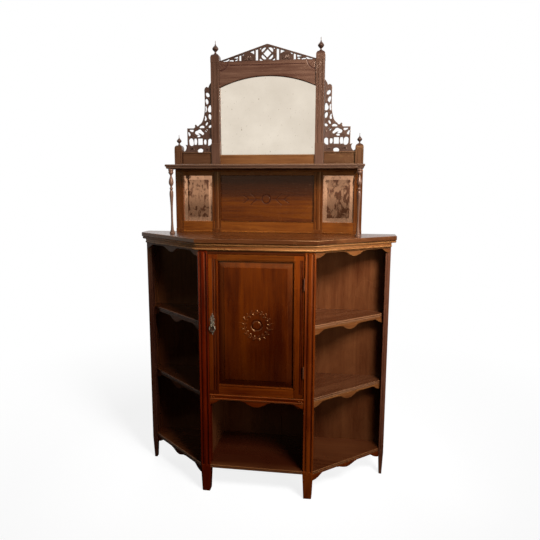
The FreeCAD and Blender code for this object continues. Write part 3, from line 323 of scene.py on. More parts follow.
def aged_metal(name, tone, dark, worn_and_lit=1.0, bare=1.0, mottle=(120, 0.15, 0.45)):
    """Cast or filed metal with tarnish in its hollows. Bare says how little dirt covers it.

    The mottle holds the tarnish's scale, softness and least amount.
    """
    metal = Finish(name)
    place = metal.place()
    grain = metal.cloud(metal.scaled(place, (900, 900, 900)), 1.0, 3.0)
    scale, soft, least = mottle
    stain = metal.cloud(metal.scaled(place, (scale, scale, scale)), 1.0, 4.0, 0.65)
    rubbed_and_lit = metal.maths("MULTIPLY", metal.given("wear"), worn_and_lit)
    amount = metal.maths("SUBTRACT", metal.between(stain, 0.5 - soft, 0.5 + soft, least, 0.95),
                         rubbed_and_lit, clamp=True)
    amount = metal.maths("MAXIMUM", amount, metal.given("hollow"))
    skin = metal.blend(amount, tone, dark)
    rough = metal.between(stain, 0.3, 0.7, 0.34, 0.6)
    return metal.done({"Base Color": skin, "Metallic": bare, "Roughness": rough,
                       "Normal": metal.bump(grain, 0.3, 0.0002)})


GRAIN_UP = (0, QUARTER, 0)
GRAIN_LEVEL = (0, 0, 0)
# How far the grain of the canted work turns away from the front.
CANT = math.atan2(262, 292)
FINISHES = {}


def finishes(context):
    """Every finish by name, made once."""
    if FINISHES:
        return FINISHES
    tone = context.scene.chiffonier_finishes
    gloss = tone.gloss
    # Painted shade: the inner boards are darker towards the floor.
    inner = {"shade": (0.1, 0.95, 0.55)}
    high = {"tint": (0.86, 0.58, 0.42), "rough": (0.26, 0.4)}
    warm = {"rough": (0.26, 0.4)}
    bare = {"gloss": 0.2, "rough": (0.5, 0.64), "coat": 0.0}
    recipes = {
        # Painted shade: the panel and the door's stiles are darker towards their foot.
        "door_panel": (tone.door, GRAIN_UP, 0.6, 1.3, {"shade": (0.5, 0.85, 0.75)}),
        "door_up": (tinted(tone.frame, 1.05, 1.1, 1.1), GRAIN_UP, 1.1, 0.6,
                    {"shade": (0.45, 0.95, 0.65)}),
        "door_level": (tinted(tone.frame, 1.12, 1.35, 1.8), GRAIN_LEVEL, 1.1, 0.6, {}),
        # Painted shade: the door's top rail is darker and less red, as under the top's overhang.
        "door_head": (tinted(tone.frame, 0.78, 1.1, 1.6), GRAIN_LEVEL, 1.1, 0.6, {}),
        # Painted light and shade: the right post is a lighter copy of the frame's wood, the left
        # post a darker shaded copy.
        "frame_right": (tinted(tone.frame, 1.25, 1.4, 1.8), GRAIN_UP, 1.0, 0.6, {}),
        "frame_level": (tone.frame, GRAIN_LEVEL, 1.0, 0.6, {}),
        "frame_left": (tinted(tone.frame, 0.75, 0.35, 0.3), GRAIN_UP, 1.0, 0.6,
                       {"tint": (1, 0.35, 0.12)}),
        "frame_shade": (tinted(tone.frame, 0.38, 0.33, 0.5), GRAIN_LEVEL, 1.0, 0.6, {}),
        "moulding_level": (tone.moulding, GRAIN_LEVEL, 0.8, 0.4, {}),
        "moulding_right": (tone.moulding, (0, 0, -CANT), 0.8, 0.4, {}),
        # Painted shade: the left aprons are a darker copy of the mouldings.
        "moulding_left": (tinted(tone.moulding, 0.76, 0.68, 0.7), (0, 0, CANT), 0.8, 0.4,
                          {"gloss": 0.15}),
        "top": (tone.top, GRAIN_LEVEL, 0.9, 0.6, {}),
        "boards_up": (tone.boards, GRAIN_UP, 0.35, 0.7, {"gloss": 0.6 * gloss, **inner}),
        "boards_level": (tone.boards, GRAIN_LEVEL, 0.8, 0.5, inner),
        # Painted light and shade: the right niche shelves are a lighter copy of the boards, the
        # left ones a darker shaded copy.
        "shelf_right": (tinted(tone.boards, 1.2, 1.35, 1.6), (0, 0, -CANT), 0.8, 0.5,
                        {"tint": (1, 0.75, 0.5), **inner}),
        "shelf_left": (tinted(tone.boards, 0.6, 0.5, 0.5), (0, 0, CANT), 0.8, 0.5,
                       {"gloss": 0.2, **inner}),
        "floor_level": (tinted(tone.boards, 1.3, 1.25, 1.2), GRAIN_LEVEL, 0.8, 0.5, inner),
        "outer_right": (tone.outer, GRAIN_UP, 0.6, 0.4, {}),
        # Painted shade: the left outer post is a darker copy of the right one.
        "outer_left": (tinted(tone.outer, 0.5, 0.45, 0.5), GRAIN_UP, 0.6, 0.4, {}),
        "upper_up": (tone.upper, GRAIN_UP, 0.7, 0.4, high),
        "upper_level": (tone.upper, GRAIN_LEVEL, 0.7, 0.4, high),
        "low_up": (tinted(tone.upper, 1.0, 0.9, 0.8), GRAIN_UP, 0.7, 0.4, warm),
        "low_level": (tinted(tone.upper, 0.9, 0.8, 0.7), GRAIN_LEVEL, 0.7, 0.4, warm),
        # Painted sheen: the columns are a much lighter copy of the upper wood, standing in for the
        # pale room they reflect.
        "turned_up": (tinted(tone.upper, 1.8, 2.1, 2.3), GRAIN_UP, 0.7, 0.4, high),
        "arch_level": (tinted(tone.upper, 1.6, 1.75, 1.9), GRAIN_LEVEL, 0.8, 0.4, high),
        "rail_gold": (tinted(tone.upper, 1.75, 1.5, 0.9), GRAIN_LEVEL, 0.8, 0.5, warm),
        "pierced_up": (tone.pierced, GRAIN_UP, 0.7, 0.4, high),
        "pierced_level": (tone.pierced, GRAIN_LEVEL, 0.7, 0.4, high),
        # Painted shadow: the centre panel is darker above its ring, as in the mirror shelf's
        # shadow.
        "centre": (tone.centre, GRAIN_LEVEL, 1.0, 0.6,
                   {"gloss": 0.5, "tint": (1, 0.58, 0.36), "shade": (1.3, 1.262, 0.8),
                    "rough": (0.22, 0.3)}),
        "lower_up": (tinted(tone.lower, 0.6, 0.55, 0.7), GRAIN_UP, 0.8, 0.5, {}),
        "lower_level": (tone.lower, GRAIN_LEVEL, 0.8, 0.5, {}),
        "plain_up": (tone.plain, GRAIN_UP, 0.8, 0.6, bare),
    }
    for name, (wood, turn, figure, ribbon, rest) in recipes.items():
        settings = {"gloss": gloss, **rest}
        FINISHES[name] = mahogany(name, tuple(wood), turn, figure, ribbon, **settings)
    for name, glass, spots in (("main_glass", tone.glass, 0.0),
                               ("side_glass", tone.old_glass, 1.0)):
        FINISHES[name] = silvered_glass(name, tuple(glass), spots)
    tarnish = paint(34, 22, 14)
    metals = {"brass": (tone.brass, tarnish, 0.25, 0.85, (170, 0.05, 0.1)),
              "ring_brass": (tone.brass, tarnish, 0.6, 1.0, (170, 0.05, 0.0)),
              "dull_brass": (paint(122, 66, 30), paint(70, 32, 12), 0.5, 0.5),
              "steel": (tone.steel, paint(52, 48, 46), 0.6)}
    for name, (metal, *settings) in metals.items():
        FINISHES[name] = aged_metal(name, tuple(metal), *settings)
    return FINISHES


# ---------------------------------------------------------------- the bench

def level(z=0.0):
    """Places an outline drawn in plan at a height."""
    return Matrix.Translation((0, 0, z * MM))


def upright(x=0.0, y=0.0, z=0.0):
    """Places an outline drawn in elevation: its thickness grows towards the front."""
    return Matrix.Translation((x * MM, y * MM, z * MM)) @ Matrix.Rotation(QUARTER, 4, "X")


def canted(x, y, z, angle):
    """Places an elevation on a canted line of the right side."""
    turn = Matrix.Rotation(angle, 4, "Z") @ Matrix.Rotation(QUARTER, 4, "X")
    return Matrix.Translation((x * MM, y * MM, z * MM)) @ turn


def bowed(start, end, rise, steps=5):
    """Points of a shallow round from start up to end, end left out."""
    (x0, y0), (x1, y1) = start, end
    run = math.hypot(x1 - x0, y1 - y0)
    across = ((y1 - y0) / run, -(x1 - x0) / run)
    points = []
    for step in range(steps):
        part = step / steps
        lift = rise * math.sin(math.pi * part) ** 0.7 if part else 0
        points.append((x0 + (x1 - x0) * part + across[0] * lift,
                       y0 + (y1 - y0) * part + across[1] * lift))
    return points


def drawn(loops, thick=0.0, rounding=0.0, filled=True, steps=5):
    """A drawn line, or a sawn plate with rounded edges, as a mesh.

    A place with a third value is a smooth point; the others are corners.
    """
    curve = bpy.data.curves.new("drawing", "CURVE")
    curve.dimensions = "2D"
    curve.resolution_u = steps
    curve.fill_mode = "BOTH" if filled else "NONE"
    if filled:
        curve.extrude = (thick / 2 - rounding) * MM
        curve.bevel_depth = rounding * MM
        curve.bevel_resolution = 1
        curve.offset = -rounding * MM
    for loop in loops:
        spline = curve.splines.new("BEZIER")
        spline.bezier_points.add(len(loop) - 1)
        spline.use_cyclic_u = filled
        for point, place in zip(spline.bezier_points, loop):
            kind = "AUTO" if len(place) > 2 else "VECTOR"
            point.handle_left_type = point.handle_right_type = kind
            point.co = (place[0] * MM, place[1] * MM, 0)
    drawing = bpy.data.objects.new("drawing", curve)
    bpy.context.scene.collection.objects.link(drawing)
    graph = bpy.context.evaluated_depsgraph_get()
    mesh = bpy.data.meshes.new_from_object(drawing.evaluated_get(graph))
    bpy.data.objects.remove(drawing)
    bpy.data.curves.remove(curve)
    return mesh


class Bench:
    """One mesh on the bench. Each board laid on it gets its own grain."""

    def __init__(self, seed=0):
        self.mesh = bmesh.new()
        self.mesh.verts.layers.float.new("board")
        self.mesh.verts.layers.float.new("hollow")
        self.mesh.loops.layers.float.new("wear")
        self.laid = seed
        self.left_hand = False

    def loose(self, kind="verts"):
        """What isn't laid yet."""
        grain = self.mesh.verts.layers.float["board"]
        if kind == "verts":
            return [vert for vert in self.mesh.verts if vert[grain] == 0]
        return [part for part in getattr(self.mesh, kind)
                if all(vert[grain] == 0 for vert in part.verts)]

    def lay(self):
        self.laid += 1
        grain = self.mesh.verts.layers.float["board"]
        number = 0.02 + 0.96 * ((self.laid * GRAIN_STEP) % 1)
        for vert in self.loose():
            vert[grain] = number

    def darken(self, keep, amount, every=False):
        """Marks corners to be darkened, for dirt and painted shade: the loose ones, or every one.
        """
        hollow = self.mesh.verts.layers.float["hollow"]
        for vert in self.mesh.verts if every else self.loose():
            if keep(vert.co / MM):
                vert[hollow] = amount

    # Marks faces lighter, for rubbed wear and for painted highlight.
    def wear(self, faces, amount=1.0):
        worn_and_lit = self.mesh.loops.layers.float["wear"]
        for face in faces:
            for corner in face.loops:
                corner[worn_and_lit] = amount

    def ease(self, edges, width, segments=2, worn_and_lit=1.0):
        """Rounds edges, and marks the rounding lighter, for rubbed wear and painted highlight."""
        made = bmesh.ops.bevel(self.mesh, geom=list(edges), offset=width * MM,
                               offset_type="OFFSET", affect="EDGES", segments=segments,
                               profile=0.5, material=-1, clamp_overlap=True)
        self.wear(made["faces"], worn_and_lit)

    def ease_sharp(self, width, segments=2, sharper=50, keep=None):
        limit = math.radians(sharper)
        edges = [edge for edge in self.loose("edges")
                 if edge.is_manifold and edge.calc_face_angle(0) > limit
                 and (keep is None or keep(self.middle(edge)))]
        self.ease(edges, width, segments)

    @staticmethod
    def middle(edge):
        return (edge.verts[0].co + edge.verts[1].co) / 2 / MM

    def edges_at(self, keep):
        return [edge for edge in self.loose("edges") if keep(self.middle(edge))]

    def corners(self, keep):
        """Loose edges where two faces meet at a marked angle."""
        return [edge for edge in self.edges_at(keep)
                if len(edge.link_faces) == 2 and edge.calc_face_angle(0) > 0.6]

    def outward(self):
        bmesh.ops.recalc_face_normals(self.mesh, faces=self.loose("faces"))

    def prism(self, outline, thick, place):
        corners = [self.mesh.verts.new((x * MM, y * MM, 0)) for x, y in outline]
        face = self.mesh.faces.new(corners)
        made = bmesh.ops.extrude_face_region(self.mesh, geom=[face])["geom"]
        risen = verts_of(made)
        bmesh.ops.translate(self.mesh, verts=risen, vec=(0, 0, thick * MM))
        bmesh.ops.transform(self.mesh, verts=corners + risen, matrix=place)
        self.outward()
        return risen

    def pocket(self, x, low, high, depth):
        """Sinks a recess into the flat face at x, from low to high in y and z."""
        def side():
            return [face for face in self.loose("faces")
                    if all(abs(vert.co.x / MM - x) < 0.01 for vert in face.verts)]

        for axis in (Vector((0, 1, 0)), Vector((0, 0, 1))):
            for corner in (low, high):
                faces = side()
                edges = {edge for face in faces for edge in face.edges}
                verts = {vert for face in faces for vert in face.verts}
                bmesh.ops.bisect_plane(self.mesh, geom=faces + list(edges) + list(verts),
                                       plane_co=corner * MM, plane_no=axis, dist=1e-7)
        floor = []
        for face in side():
            spot = face.calc_center_median() / MM
            if low.y < spot.y < high.y and low.z < spot.z < high.z:
                floor.append(face)
        if not floor:
            raise RuntimeError("the recess misses its face")
        made = bmesh.ops.extrude_face_region(self.mesh, geom=floor)["geom"]
        bmesh.ops.delete(self.mesh, geom=floor, context="FACES_ONLY")
        bmesh.ops.translate(self.mesh, vec=(depth * MM, 0, 0), verts=verts_of(made))
        self.outward()

    def board(self, low, high, easing=0.9, segments=2, lay=True):
        """A rectangular board with eased edges."""
        low, high = Vector(low) * MM, Vector(high) * MM
        size = high - low
        shape = Matrix.Translation((low + high) / 2) @ Matrix.Diagonal((*size, 1))
        made = bmesh.ops.create_cube(self.mesh, size=1, matrix=shape)
        if easing:
            self.ease({edge for vert in made["verts"] for edge in vert.link_edges},
                      easing, segments)
        if lay:
            self.lay()

    def hang(self, pivot):
        """Lays what was turned around the origin on its side, and moves it to a pivot."""
        near = [vert for vert in self.mesh.verts if max(map(abs, vert.co)) < 0.01]
        bmesh.ops.transform(self.mesh, verts=near, matrix=Matrix.Translation(pivot * MM)
                            @ Matrix.Rotation(QUARTER, 4, "Y"))

    def planks(self, joints, front, low, high):
        """Upright boards side by side, from their front to the wall."""
        for left, right in zip(joints, joints[1:]):
            self.board((left, front, low), (right, REAR_Y, high), 1.2, 1)

    def slab(self, outline, low, high, rounds=(), easing=0.9, tips=0.0):
        """A flat board of any plan. Rounds say at which height, how much, and where.

        Tips is the rounding of the two outermost front corners in plan.
        """
        self.prism(outline, high - low, level(low))
        if tips:
            far = max(x for x, _ in outline) - 1
            self.ease(self.edges_at(lambda spot: abs(spot.x) > far and spot.y < REAR_Y - 1
                                    and low + 1 < spot.z < high - 1), tips, 5, 0.0)
        for height, width, keep, *worn_and_lit in rounds:
            self.ease(self.edges_at(lambda spot: abs(spot.z - height) < 0.01 and keep(spot)),
                      width, 4, *worn_and_lit)
        if easing:
            self.ease_sharp(easing)
        self.lay()

    def strip_frame(self, low, high, width, thick, place, rounding):
        """A mitred strip around an opening: low and high are the opening's corners."""
        outer = [(low[0] - width, low[1] - width), (high[0] + width, low[1] - width),
                 (high[0] + width, high[1] + width), (low[0] - width, high[1] + width)]
        corners = [self.mesh.verts.new((x * MM, y * MM, 0)) for x, y in outer]
        face = self.mesh.faces.new(corners)
        bmesh.ops.inset_region(self.mesh, faces=[face], thickness=width * MM,
                               use_boundary=True, use_even_offset=True)
        bmesh.ops.delete(self.mesh, geom=[face], context="FACES_ONLY")
        ring = self.loose("faces")
        made = bmesh.ops.extrude_face_region(self.mesh, geom=ring)["geom"]
        risen = verts_of(made)
        bmesh.ops.translate(self.mesh, verts=risen, vec=(0, 0, thick * MM))
        self.outward()
        if rounding:
            front = [edge for edge in self.loose("edges")
                     if all(abs(vert.co.z - thick * MM) < 1e-7 for vert in edge.verts)
                     and edge.calc_face_angle(0) > 1]
            self.ease(front, rounding, 3)
        bmesh.ops.transform(self.mesh, verts=self.loose(), matrix=place)
        self.lay()

    def draw(self, *drawing, **settings):
        """Puts a drawn line or plate on the bench."""
        mesh = drawn(*drawing, **settings)
        self.mesh.from_mesh(mesh)
        bpy.data.meshes.remove(mesh)

    def sawn(self, loops, thick, rounding, place, steps=5):
        """Fretwork: a plate of any outline with openings and rounded edges."""
        self.draw(loops, thick, rounding, steps=steps)
        bmesh.ops.remove_doubles(self.mesh, verts=self.loose(), dist=2e-6)
        self.outward()
        self.wear([face for face in self.loose("faces") if 0.15 < abs(face.normal.z) < 0.97], 0.8)
        shift = Matrix.Translation((0, 0, thick / 2 * MM))
        bmesh.ops.transform(self.mesh, verts=self.loose(), matrix=place @ shift)
        self.lay()

    def turned(self, profile, x, y, z, steps=TURNED_STEPS, smooth=5):
        """Turned work: the profile holds radius and height."""
        self.draw([profile], filled=False, steps=smooth)
        line = self.loose() + self.loose("edges")
        bmesh.ops.rotate(self.mesh, verts=self.loose(), cent=(0, 0, 0),
                         matrix=Matrix.Rotation(QUARTER, 3, "X"))
        bmesh.ops.spin(self.mesh, geom=line, cent=(0, 0, 0), axis=(0, 0, 1),
                       angle=2 * math.pi, steps=steps, use_merge=True)
        bmesh.ops.remove_doubles(self.mesh, verts=self.loose(), dist=2e-6)
        self.outward()
        bmesh.ops.translate(self.mesh, verts=self.loose(), vec=(x * MM, y * MM, z * MM))
        self.lay()

    def relief(self, columns, rows, surface):
        """The carved face of a board, as a net of points. Returns its rim.

        surface takes the across and up values and returns x, y, z and how much darker the spot is.
        """
        made = bmesh.ops.create_grid(self.mesh, x_segments=len(columns) - 1,
                                     y_segments=len(rows) - 1, size=1)["verts"]
        hollow = self.mesh.verts.layers.float["hollow"]
        for vert in made:
            across = columns[round((vert.co.x + 1) / 2 * (len(columns) - 1))]
            up = rows[round((vert.co.y + 1) / 2 * (len(rows) - 1))]
            x, y, z, deep = surface(across, up)
            vert.co = Vector((x, y, z)) * MM
            vert[hollow] = deep
        return [edge for edge in self.loose("edges") if edge.is_boundary]

    def carried_back(self, rim, back_to):
        """Carries a rim back to a depth. Returns what it made and the new rim."""
        made = bmesh.ops.extrude_edge_only(self.mesh, edges=rim)["geom"]
        for vert in verts_of(made):
            vert.co.y = back_to * MM
        return made, [part for part in made if isinstance(part, bmesh.types.BMEdge)
                      and part.is_boundary]

    def skirt(self, rim, back_to, grow=0.0, worn_and_lit=0.0):
        """Carries a rectangular rim outwards and back to a depth, and returns the new rim."""
        made, new_rim = self.carried_back(rim, back_to)
        verts = verts_of(made)
        for axis in (0, 2):
            low = min(vert.co[axis] for vert in verts)
            high = max(vert.co[axis] for vert in verts)
            middle, half = (low + high) / 2, (high - low) / 2
            factor = (half + grow * MM) / half
            for vert in verts:
                vert.co[axis] = middle + (vert.co[axis] - middle) * factor
        self.wear([part for part in made if isinstance(part, bmesh.types.BMFace)], worn_and_lit)
        return new_rim

    def close(self, rim):
        bmesh.ops.holes_fill(self.mesh, edges=rim, sides=0)
        self.outward()
        self.lay()

    def flip(self):
        """Turns right-hand work into left-hand work."""
        bmesh.ops.scale(self.mesh, vec=(-1, 1, 1), verts=self.mesh.verts[:])
        bmesh.ops.reverse_faces(self.mesh, faces=self.mesh.faces[:])

    def both_sides(self):
        """Adds the same work on the left."""
        every = self.mesh.verts[:] + self.mesh.edges[:] + self.mesh.faces[:]
        copy = bmesh.ops.duplicate(self.mesh, geom=every)["geom"]
        verts = verts_of(copy)
        faces = [part for part in copy if isinstance(part, bmesh.types.BMFace)]
        bmesh.ops.scale(self.mesh, vec=(-1, 1, 1), verts=verts)
        bmesh.ops.reverse_faces(self.mesh, faces=faces)
        grain = self.mesh.verts.layers.float["board"]
        for vert in verts:
            vert[grain] = 0.02 + (vert[grain] + 0.31) % 0.96

    def hand_over(self, name, material, slot, *nodes, body="carcase", soft=38):
        """Makes the piece, and says what it rides on and stands for."""
        if self.left_hand:
            self.flip()
        for face in self.mesh.faces:
            face.smooth = True
        limit = math.radians(soft)
        for edge in self.mesh.edges:
            edge.smooth = edge.is_manifold and edge.calc_face_angle(0) < limit
        mesh = bpy.data.meshes.new(name)
        self.mesh.to_mesh(mesh)
        self.mesh.free()
        piece = bpy.data.objects.new(name, mesh)
        bpy.context.scene.collection.objects.link(piece)
        mesh.materials.append(material)
        shading = piece.modifiers.new("Even shading", "WEIGHTED_NORMAL")
        shading.keep_sharp = True
        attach(piece, body)
        if nodes:
            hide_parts(*nodes)
        return piece


def pair(right_seed, left_seed):
    """A bench for each side. What is made on the left one is turned over at the end."""
    for side, seed in (("right", right_seed), ("left", left_seed)):
        bench = Bench(seed)
        bench.left_hand = side == "left"
        yield side, bench


def spaced(low, high, fine_low, fine_high, fine, coarse):
    """Values from low to high that lie close together in one stretch."""
    values = []
    for start, end, step in ((low, fine_low, coarse), (fine_low, fine_high, fine),
                             (fine_high, high, coarse)):
        count = max(1, round((end - start) / step)) if end > start else 0
        values += [start + (end - start) * number / count for number in range(count)]
    return values + [high]


# ---------------------------------------------------------------- shared lines

# Right-hand edges, depths (the front is negative) and heights, as the frame has them.
(POST_INNER, FACE_Y, _), (POST_OUTER, POST_BACK_Y, FRIEZE_LOW) = reach("front_post_right")
(OUTER_INNER, OUTER_FACE_Y, _), (OUTER_OUTER, OUTER_BACK_Y, _) = reach("outer_post_right")
(SIDE_INNER, _, _), (SIDE_OUTER, _, _) = reach("cupboard_side_right")
(_, _, LEG_TOP), (RETURN_INNER, BACK_Y, FLOOR_TOP) = reach("bottom_shelf")
(_, _, FRIEZE_TOP), (_, REAR_Y, TOP_Z) = reach("countertop")
(LOCK_EDGE, DOOR_FACE, DOOR_FOOT), (OPENING_LEFT, DOOR_BACK, DOOR_HEAD) = reach("door_stile_lock")
(OPENING_RIGHT, _, _), (HINGE_EDGE, _, _) = reach("door_stile_hinge")
OPENING_FOOT, OPENING_HEAD = reach("door_rail_bottom")[1][2], reach("door_rail_top")[0][2]
(_, SHELF_FRONT, SHELF_LOW), (SHELF_HALF, _, SHELF_TOP) = reach("mirror_shelf")
(_, RAIL_Y, _), (MIRROR_HALF, LINING_Y, MIRROR_FOOT) = reach("mirror_rail")
(_, _, ARCH_SPRING), (_, _, ARCH_TOP) = reach("arch_rail")
(_, UPPER_FACE_Y, _), (TALL_OUTER, _, TALL_TOP) = reach("tall_post_right")
(_, _, LOWER_FOOT), (SHORT_INNER, GLASS_BACK, LOWER_HEAD) = reach("side_mirrors")
_, (SHORT_OUTER, _, SHORT_TOP) = reach("short_posts")
ARCH_RISE = 46
LEG_INSET = 4.7
CANT_RUN = OUTER_OUTER - POST_OUTER
CANT_SET = OUTER_FACE_Y - FACE_Y


def oblong(left, right, front, back):
    """A rectangular plan."""
    return [(left, back), (left, front), (right, front), (right, back)]


def canted_plan(overhang, side_overhang):
    """The carcase's plan, grown by an overhang on the front and the cants."""
    cant = math.hypot(CANT_RUN, CANT_SET)
    corner_x = POST_OUTER + overhang * CANT_SET / (cant + CANT_RUN)
    tip_x = OUTER_OUTER + side_overhang
    tip_y = FACE_Y + (tip_x - POST_OUTER) * CANT_SET / CANT_RUN - overhang * cant / CANT_RUN
    return both_plans([(corner_x, FACE_Y - overhang), (tip_x, tip_y), (tip_x, REAR_Y)])


def not_at_back(spot):
    """Tells the front and the ends of a board from its edge at the wall."""
    return spot.y < REAR_Y - 1


def both_plans(right):
    """A plan and its mirror image, as one."""
    return right + [(-x, y) for x, y in reversed(right)]


# ---------------------------------------------------------------- carcase

class Step(bpy.types.Operator):
    """Shared settings of every building step"""
    bl_options = {"REGISTER", "UNDO"}


class CHIFFONIER_OT_top(Step):
    """Makes the countertop and the moulded frieze under it"""
    bl_idname = "chiffonier.top"
    bl_label = "Top and frieze"

    def execute(self, context):
        finish = finishes(context)
        size = context.scene.chiffonier_sizes
        round_top = size.top_round / MM
        board_low = TOP_Z - 19
        bench = Bench(3)
        bench.slab(canted_plan(18, 24), board_low, TOP_Z,
                   [(TOP_Z, round_top, not_at_back, 0.12), (board_low, 3, not_at_back, 0.0)],
                   tips=11)
        bench.hand_over("countertop_board", finish["top"], CARCASE, "countertop")
        bench = Bench(7)
        bench.slab(canted_plan(9, 22), FRIEZE_TOP - 0.5, board_low + 0.5, tips=9)
        ovolo_top = FRIEZE_TOP + 7
        bench.slab(canted_plan(11, 23), FRIEZE_TOP, ovolo_top,
                   [(ovolo_top, 2.5, not_at_back), (FRIEZE_TOP, 4, not_at_back)], tips=10)
        bench.hand_over("countertop_moulding", finish["moulding_level"], CARCASE, "countertop")
        bench = Bench(11)
        bench.slab(canted_plan(5, 1), FRIEZE_LOW + 5, FRIEZE_TOP)
        astragal_top = FRIEZE_LOW + 8
        bench.slab(canted_plan(9, 3), FRIEZE_LOW, astragal_top,
                   [(astragal_top, 3.4, not_at_back), (FRIEZE_LOW, 3.4, not_at_back)],
                   easing=0, tips=5)
        bench.hand_over("frieze", finish["moulding_level"], CARCASE, "frieze_moulding")
        return {"FINISHED"}


def reeded_plan(rise):
    """Plan of a front post: a broad reed between two flutes and two narrow reeds."""
    base = FACE_Y + rise
    flute = -rise * 1.6
    plan = [(POST_INNER, POST_BACK_Y), (POST_INNER, base + 0.6)]
    plan += bowed((POST_INNER, base), (208.5, base), rise, 6)[1:]
    for start, end, lift, steps in ((208.5, 216.5, flute, 7), (216.5, 231.5, rise, 9),
                                    (231.5, 239, flute, 7)):
        plan += bowed((start, base), (end, base), lift, steps)
    plan += bowed((239, base), (244, base + 0.6), rise * 0.8, 5)
    return plan + [(244, base + 0.6), (POST_OUTER, FACE_Y + 5), (POST_OUTER, POST_BACK_Y)]


def tapered_leg(bench, plan, top, inset):
    """A leg whose foot is smaller on every side."""
    foot = bench.prism(plan, -top, level(top))
    xs, ys = [x for x, y in plan], [y for x, y in plan]
    middle = Vector(((min(xs) + max(xs)) / 2, (min(ys) + max(ys)) / 2, 0)) * MM
    shrink = Vector((1 - 2 * inset / (max(xs) - min(xs)), 1 - 2 * inset / (max(ys) - min(ys)), 1))
    bmesh.ops.scale(bench.mesh, verts=foot, vec=shrink,
                    space=Matrix.Translation(-middle))
    bench.outward()


class CHIFFONIER_OT_front_posts(Step):
    """Makes the two reeded front posts with their tapered legs"""
    bl_idname = "chiffonier.front_posts"
    bl_label = "Front posts"

    def execute(self, context):
        finish = finishes(context)
        rise = context.scene.chiffonier_sizes.reed_rise / MM
        reed_low, reed_high = LEG_TOP + 12, FRIEZE_LOW - 9
        block = [(POST_INNER, POST_BACK_Y), (POST_INNER, FACE_Y), (POST_OUTER - 6, FACE_Y),
                 (POST_OUTER, FACE_Y + 4.8), (POST_OUTER, POST_BACK_Y)]
        for side, bench in pair(21, 26):
            bench.prism(reeded_plan(rise), reed_high - reed_low, level(reed_low))
            if side == "left":
                low, high = span("lock_bolt")
                around_bolt = Vector((0, 0.9, 0.9))
                bench.pocket(POST_INNER, low - around_bolt, high + around_bolt, 9.6)
            for low, high in ((reed_high - 1, FRIEZE_LOW), (LEG_TOP, reed_low + 2)):
                bench.prism(block, high - low, level(low))
            bench.ease(bench.corners(lambda spot: reed_high - 2 < spot.z < FRIEZE_LOW - 1
                                     or spot.z < reed_low + 3), 1.2)
            bench.darken(lambda spot: 209 < spot.x < 238.5 and reed_low - 1 < spot.z
                       and FACE_Y + rise + 0.5 < spot.y < FACE_Y + rise + 6, 0.75)
            tapered_leg(bench, block, LEG_TOP, LEG_INSET)
            bench.ease(bench.corners(lambda spot: spot.z < LEG_TOP - 2), 1.0)
            bench.lay()
            bench.hand_over(f"front_post_{side}_reeded", finish["frame_" + side], CARCASE,
                            f"front_post_{side}")
        return {"FINISHED"}


class CHIFFONIER_OT_outer_posts(Step):
    """Makes the slim posts at the outer corners"""
    bl_idname = "chiffonier.outer_posts"
    bl_label = "Outer posts"

    def execute(self, context):
        finish = finishes(context)
        face = ((0, 1), (1, 0), (5, 0), (6, 2), (8, 2), (9, 0), (20.5, 0), (22, 1.5))
        plan = ([(OUTER_INNER, OUTER_BACK_Y)]
                + [(OUTER_INNER + x, OUTER_FACE_Y + y) for x, y in face]
                + [(OUTER_OUTER, OUTER_BACK_Y)])
        plain = oblong(OUTER_INNER, OUTER_OUTER, OUTER_FACE_Y, OUTER_BACK_Y)
        for side, bench in pair(31, 34):
            bench.prism(plan, FRIEZE_LOW - LEG_TOP - 6, level(LEG_TOP + 6))
            bench.prism(plain, 8, level(LEG_TOP - 1))
            bench.ease_sharp(0.8, keep=lambda spot: spot.z < LEG_TOP + 7.5)
            tapered_leg(bench, plain, LEG_TOP, LEG_INSET)
            bench.ease_sharp(0.9, keep=lambda spot: spot.z < LEG_TOP - 1.1)
            bench.lay()
            bench.hand_over(f"outer_post_{side}_slim", finish["outer_" + side],
                            CARCASE, f"outer_post_{side}")
        return {"FINISHED"}


class CHIFFONIER_OT_case_boards(Step):
    """Makes the sides, the end panels and the boarded back"""
    bl_idname = "chiffonier.case_boards"
    bl_label = "Sides and back"

    def execute(self, context):
        finish = finishes(context)
        for node in ("cupboard_side_left", "cupboard_side_right"):
            bench = Bench(41)
            bench.board(*span(node), easing=0.8)
            bench.hand_over(node + "_board", finish["boards_up"], CARCASE, node)
        bench = Bench(43)
        low, high = span("return_panels")
        bench.board((RETURN_INNER, OUTER_BACK_Y, low.z), (high.x, REAR_Y, high.z), 0.8)
        bench.both_sides()
        bench.hand_over("end_panels", finish["boards_up"], CARCASE, "return_panels")
        bench = Bench(46)
        low, high = span("back_board")
        joints = [-RETURN_INNER, -226, -76, 74, 226, RETURN_INNER]
        bench.planks(joints, BACK_Y, low.z, high.z)
        bench.hand_over("back_planks", finish["boards_up"], PLAIN, "back_board")
        return {"FINISHED"}


def cant_line(front, outer, end_x=OUTER_INNER):
    """The ends of a canted edge, by how far it lies behind the posts' faces."""
    return (POST_OUTER, FACE_Y + front), (end_x, OUTER_FACE_Y + outer)


def reeded_layers(top):
    """Underside, top and set-back of the two reeds that make up a shelf's edge."""
    return (top - 8.2, top, 0), (top - 16, top - 7.8, 1.5)


def cant_front(start, end):
    """Tells whether a spot lies on a canted front edge."""
    (x_from, y_from), (x_to, y_to) = start, end

    def test(spot):
        if not x_from - 1 < spot.x < x_to + 1:
            return False
        line = y_from + (spot.x - x_from) * (y_to - y_from) / (x_to - x_from)
        return abs(spot.y - line) < 0.6
    return test


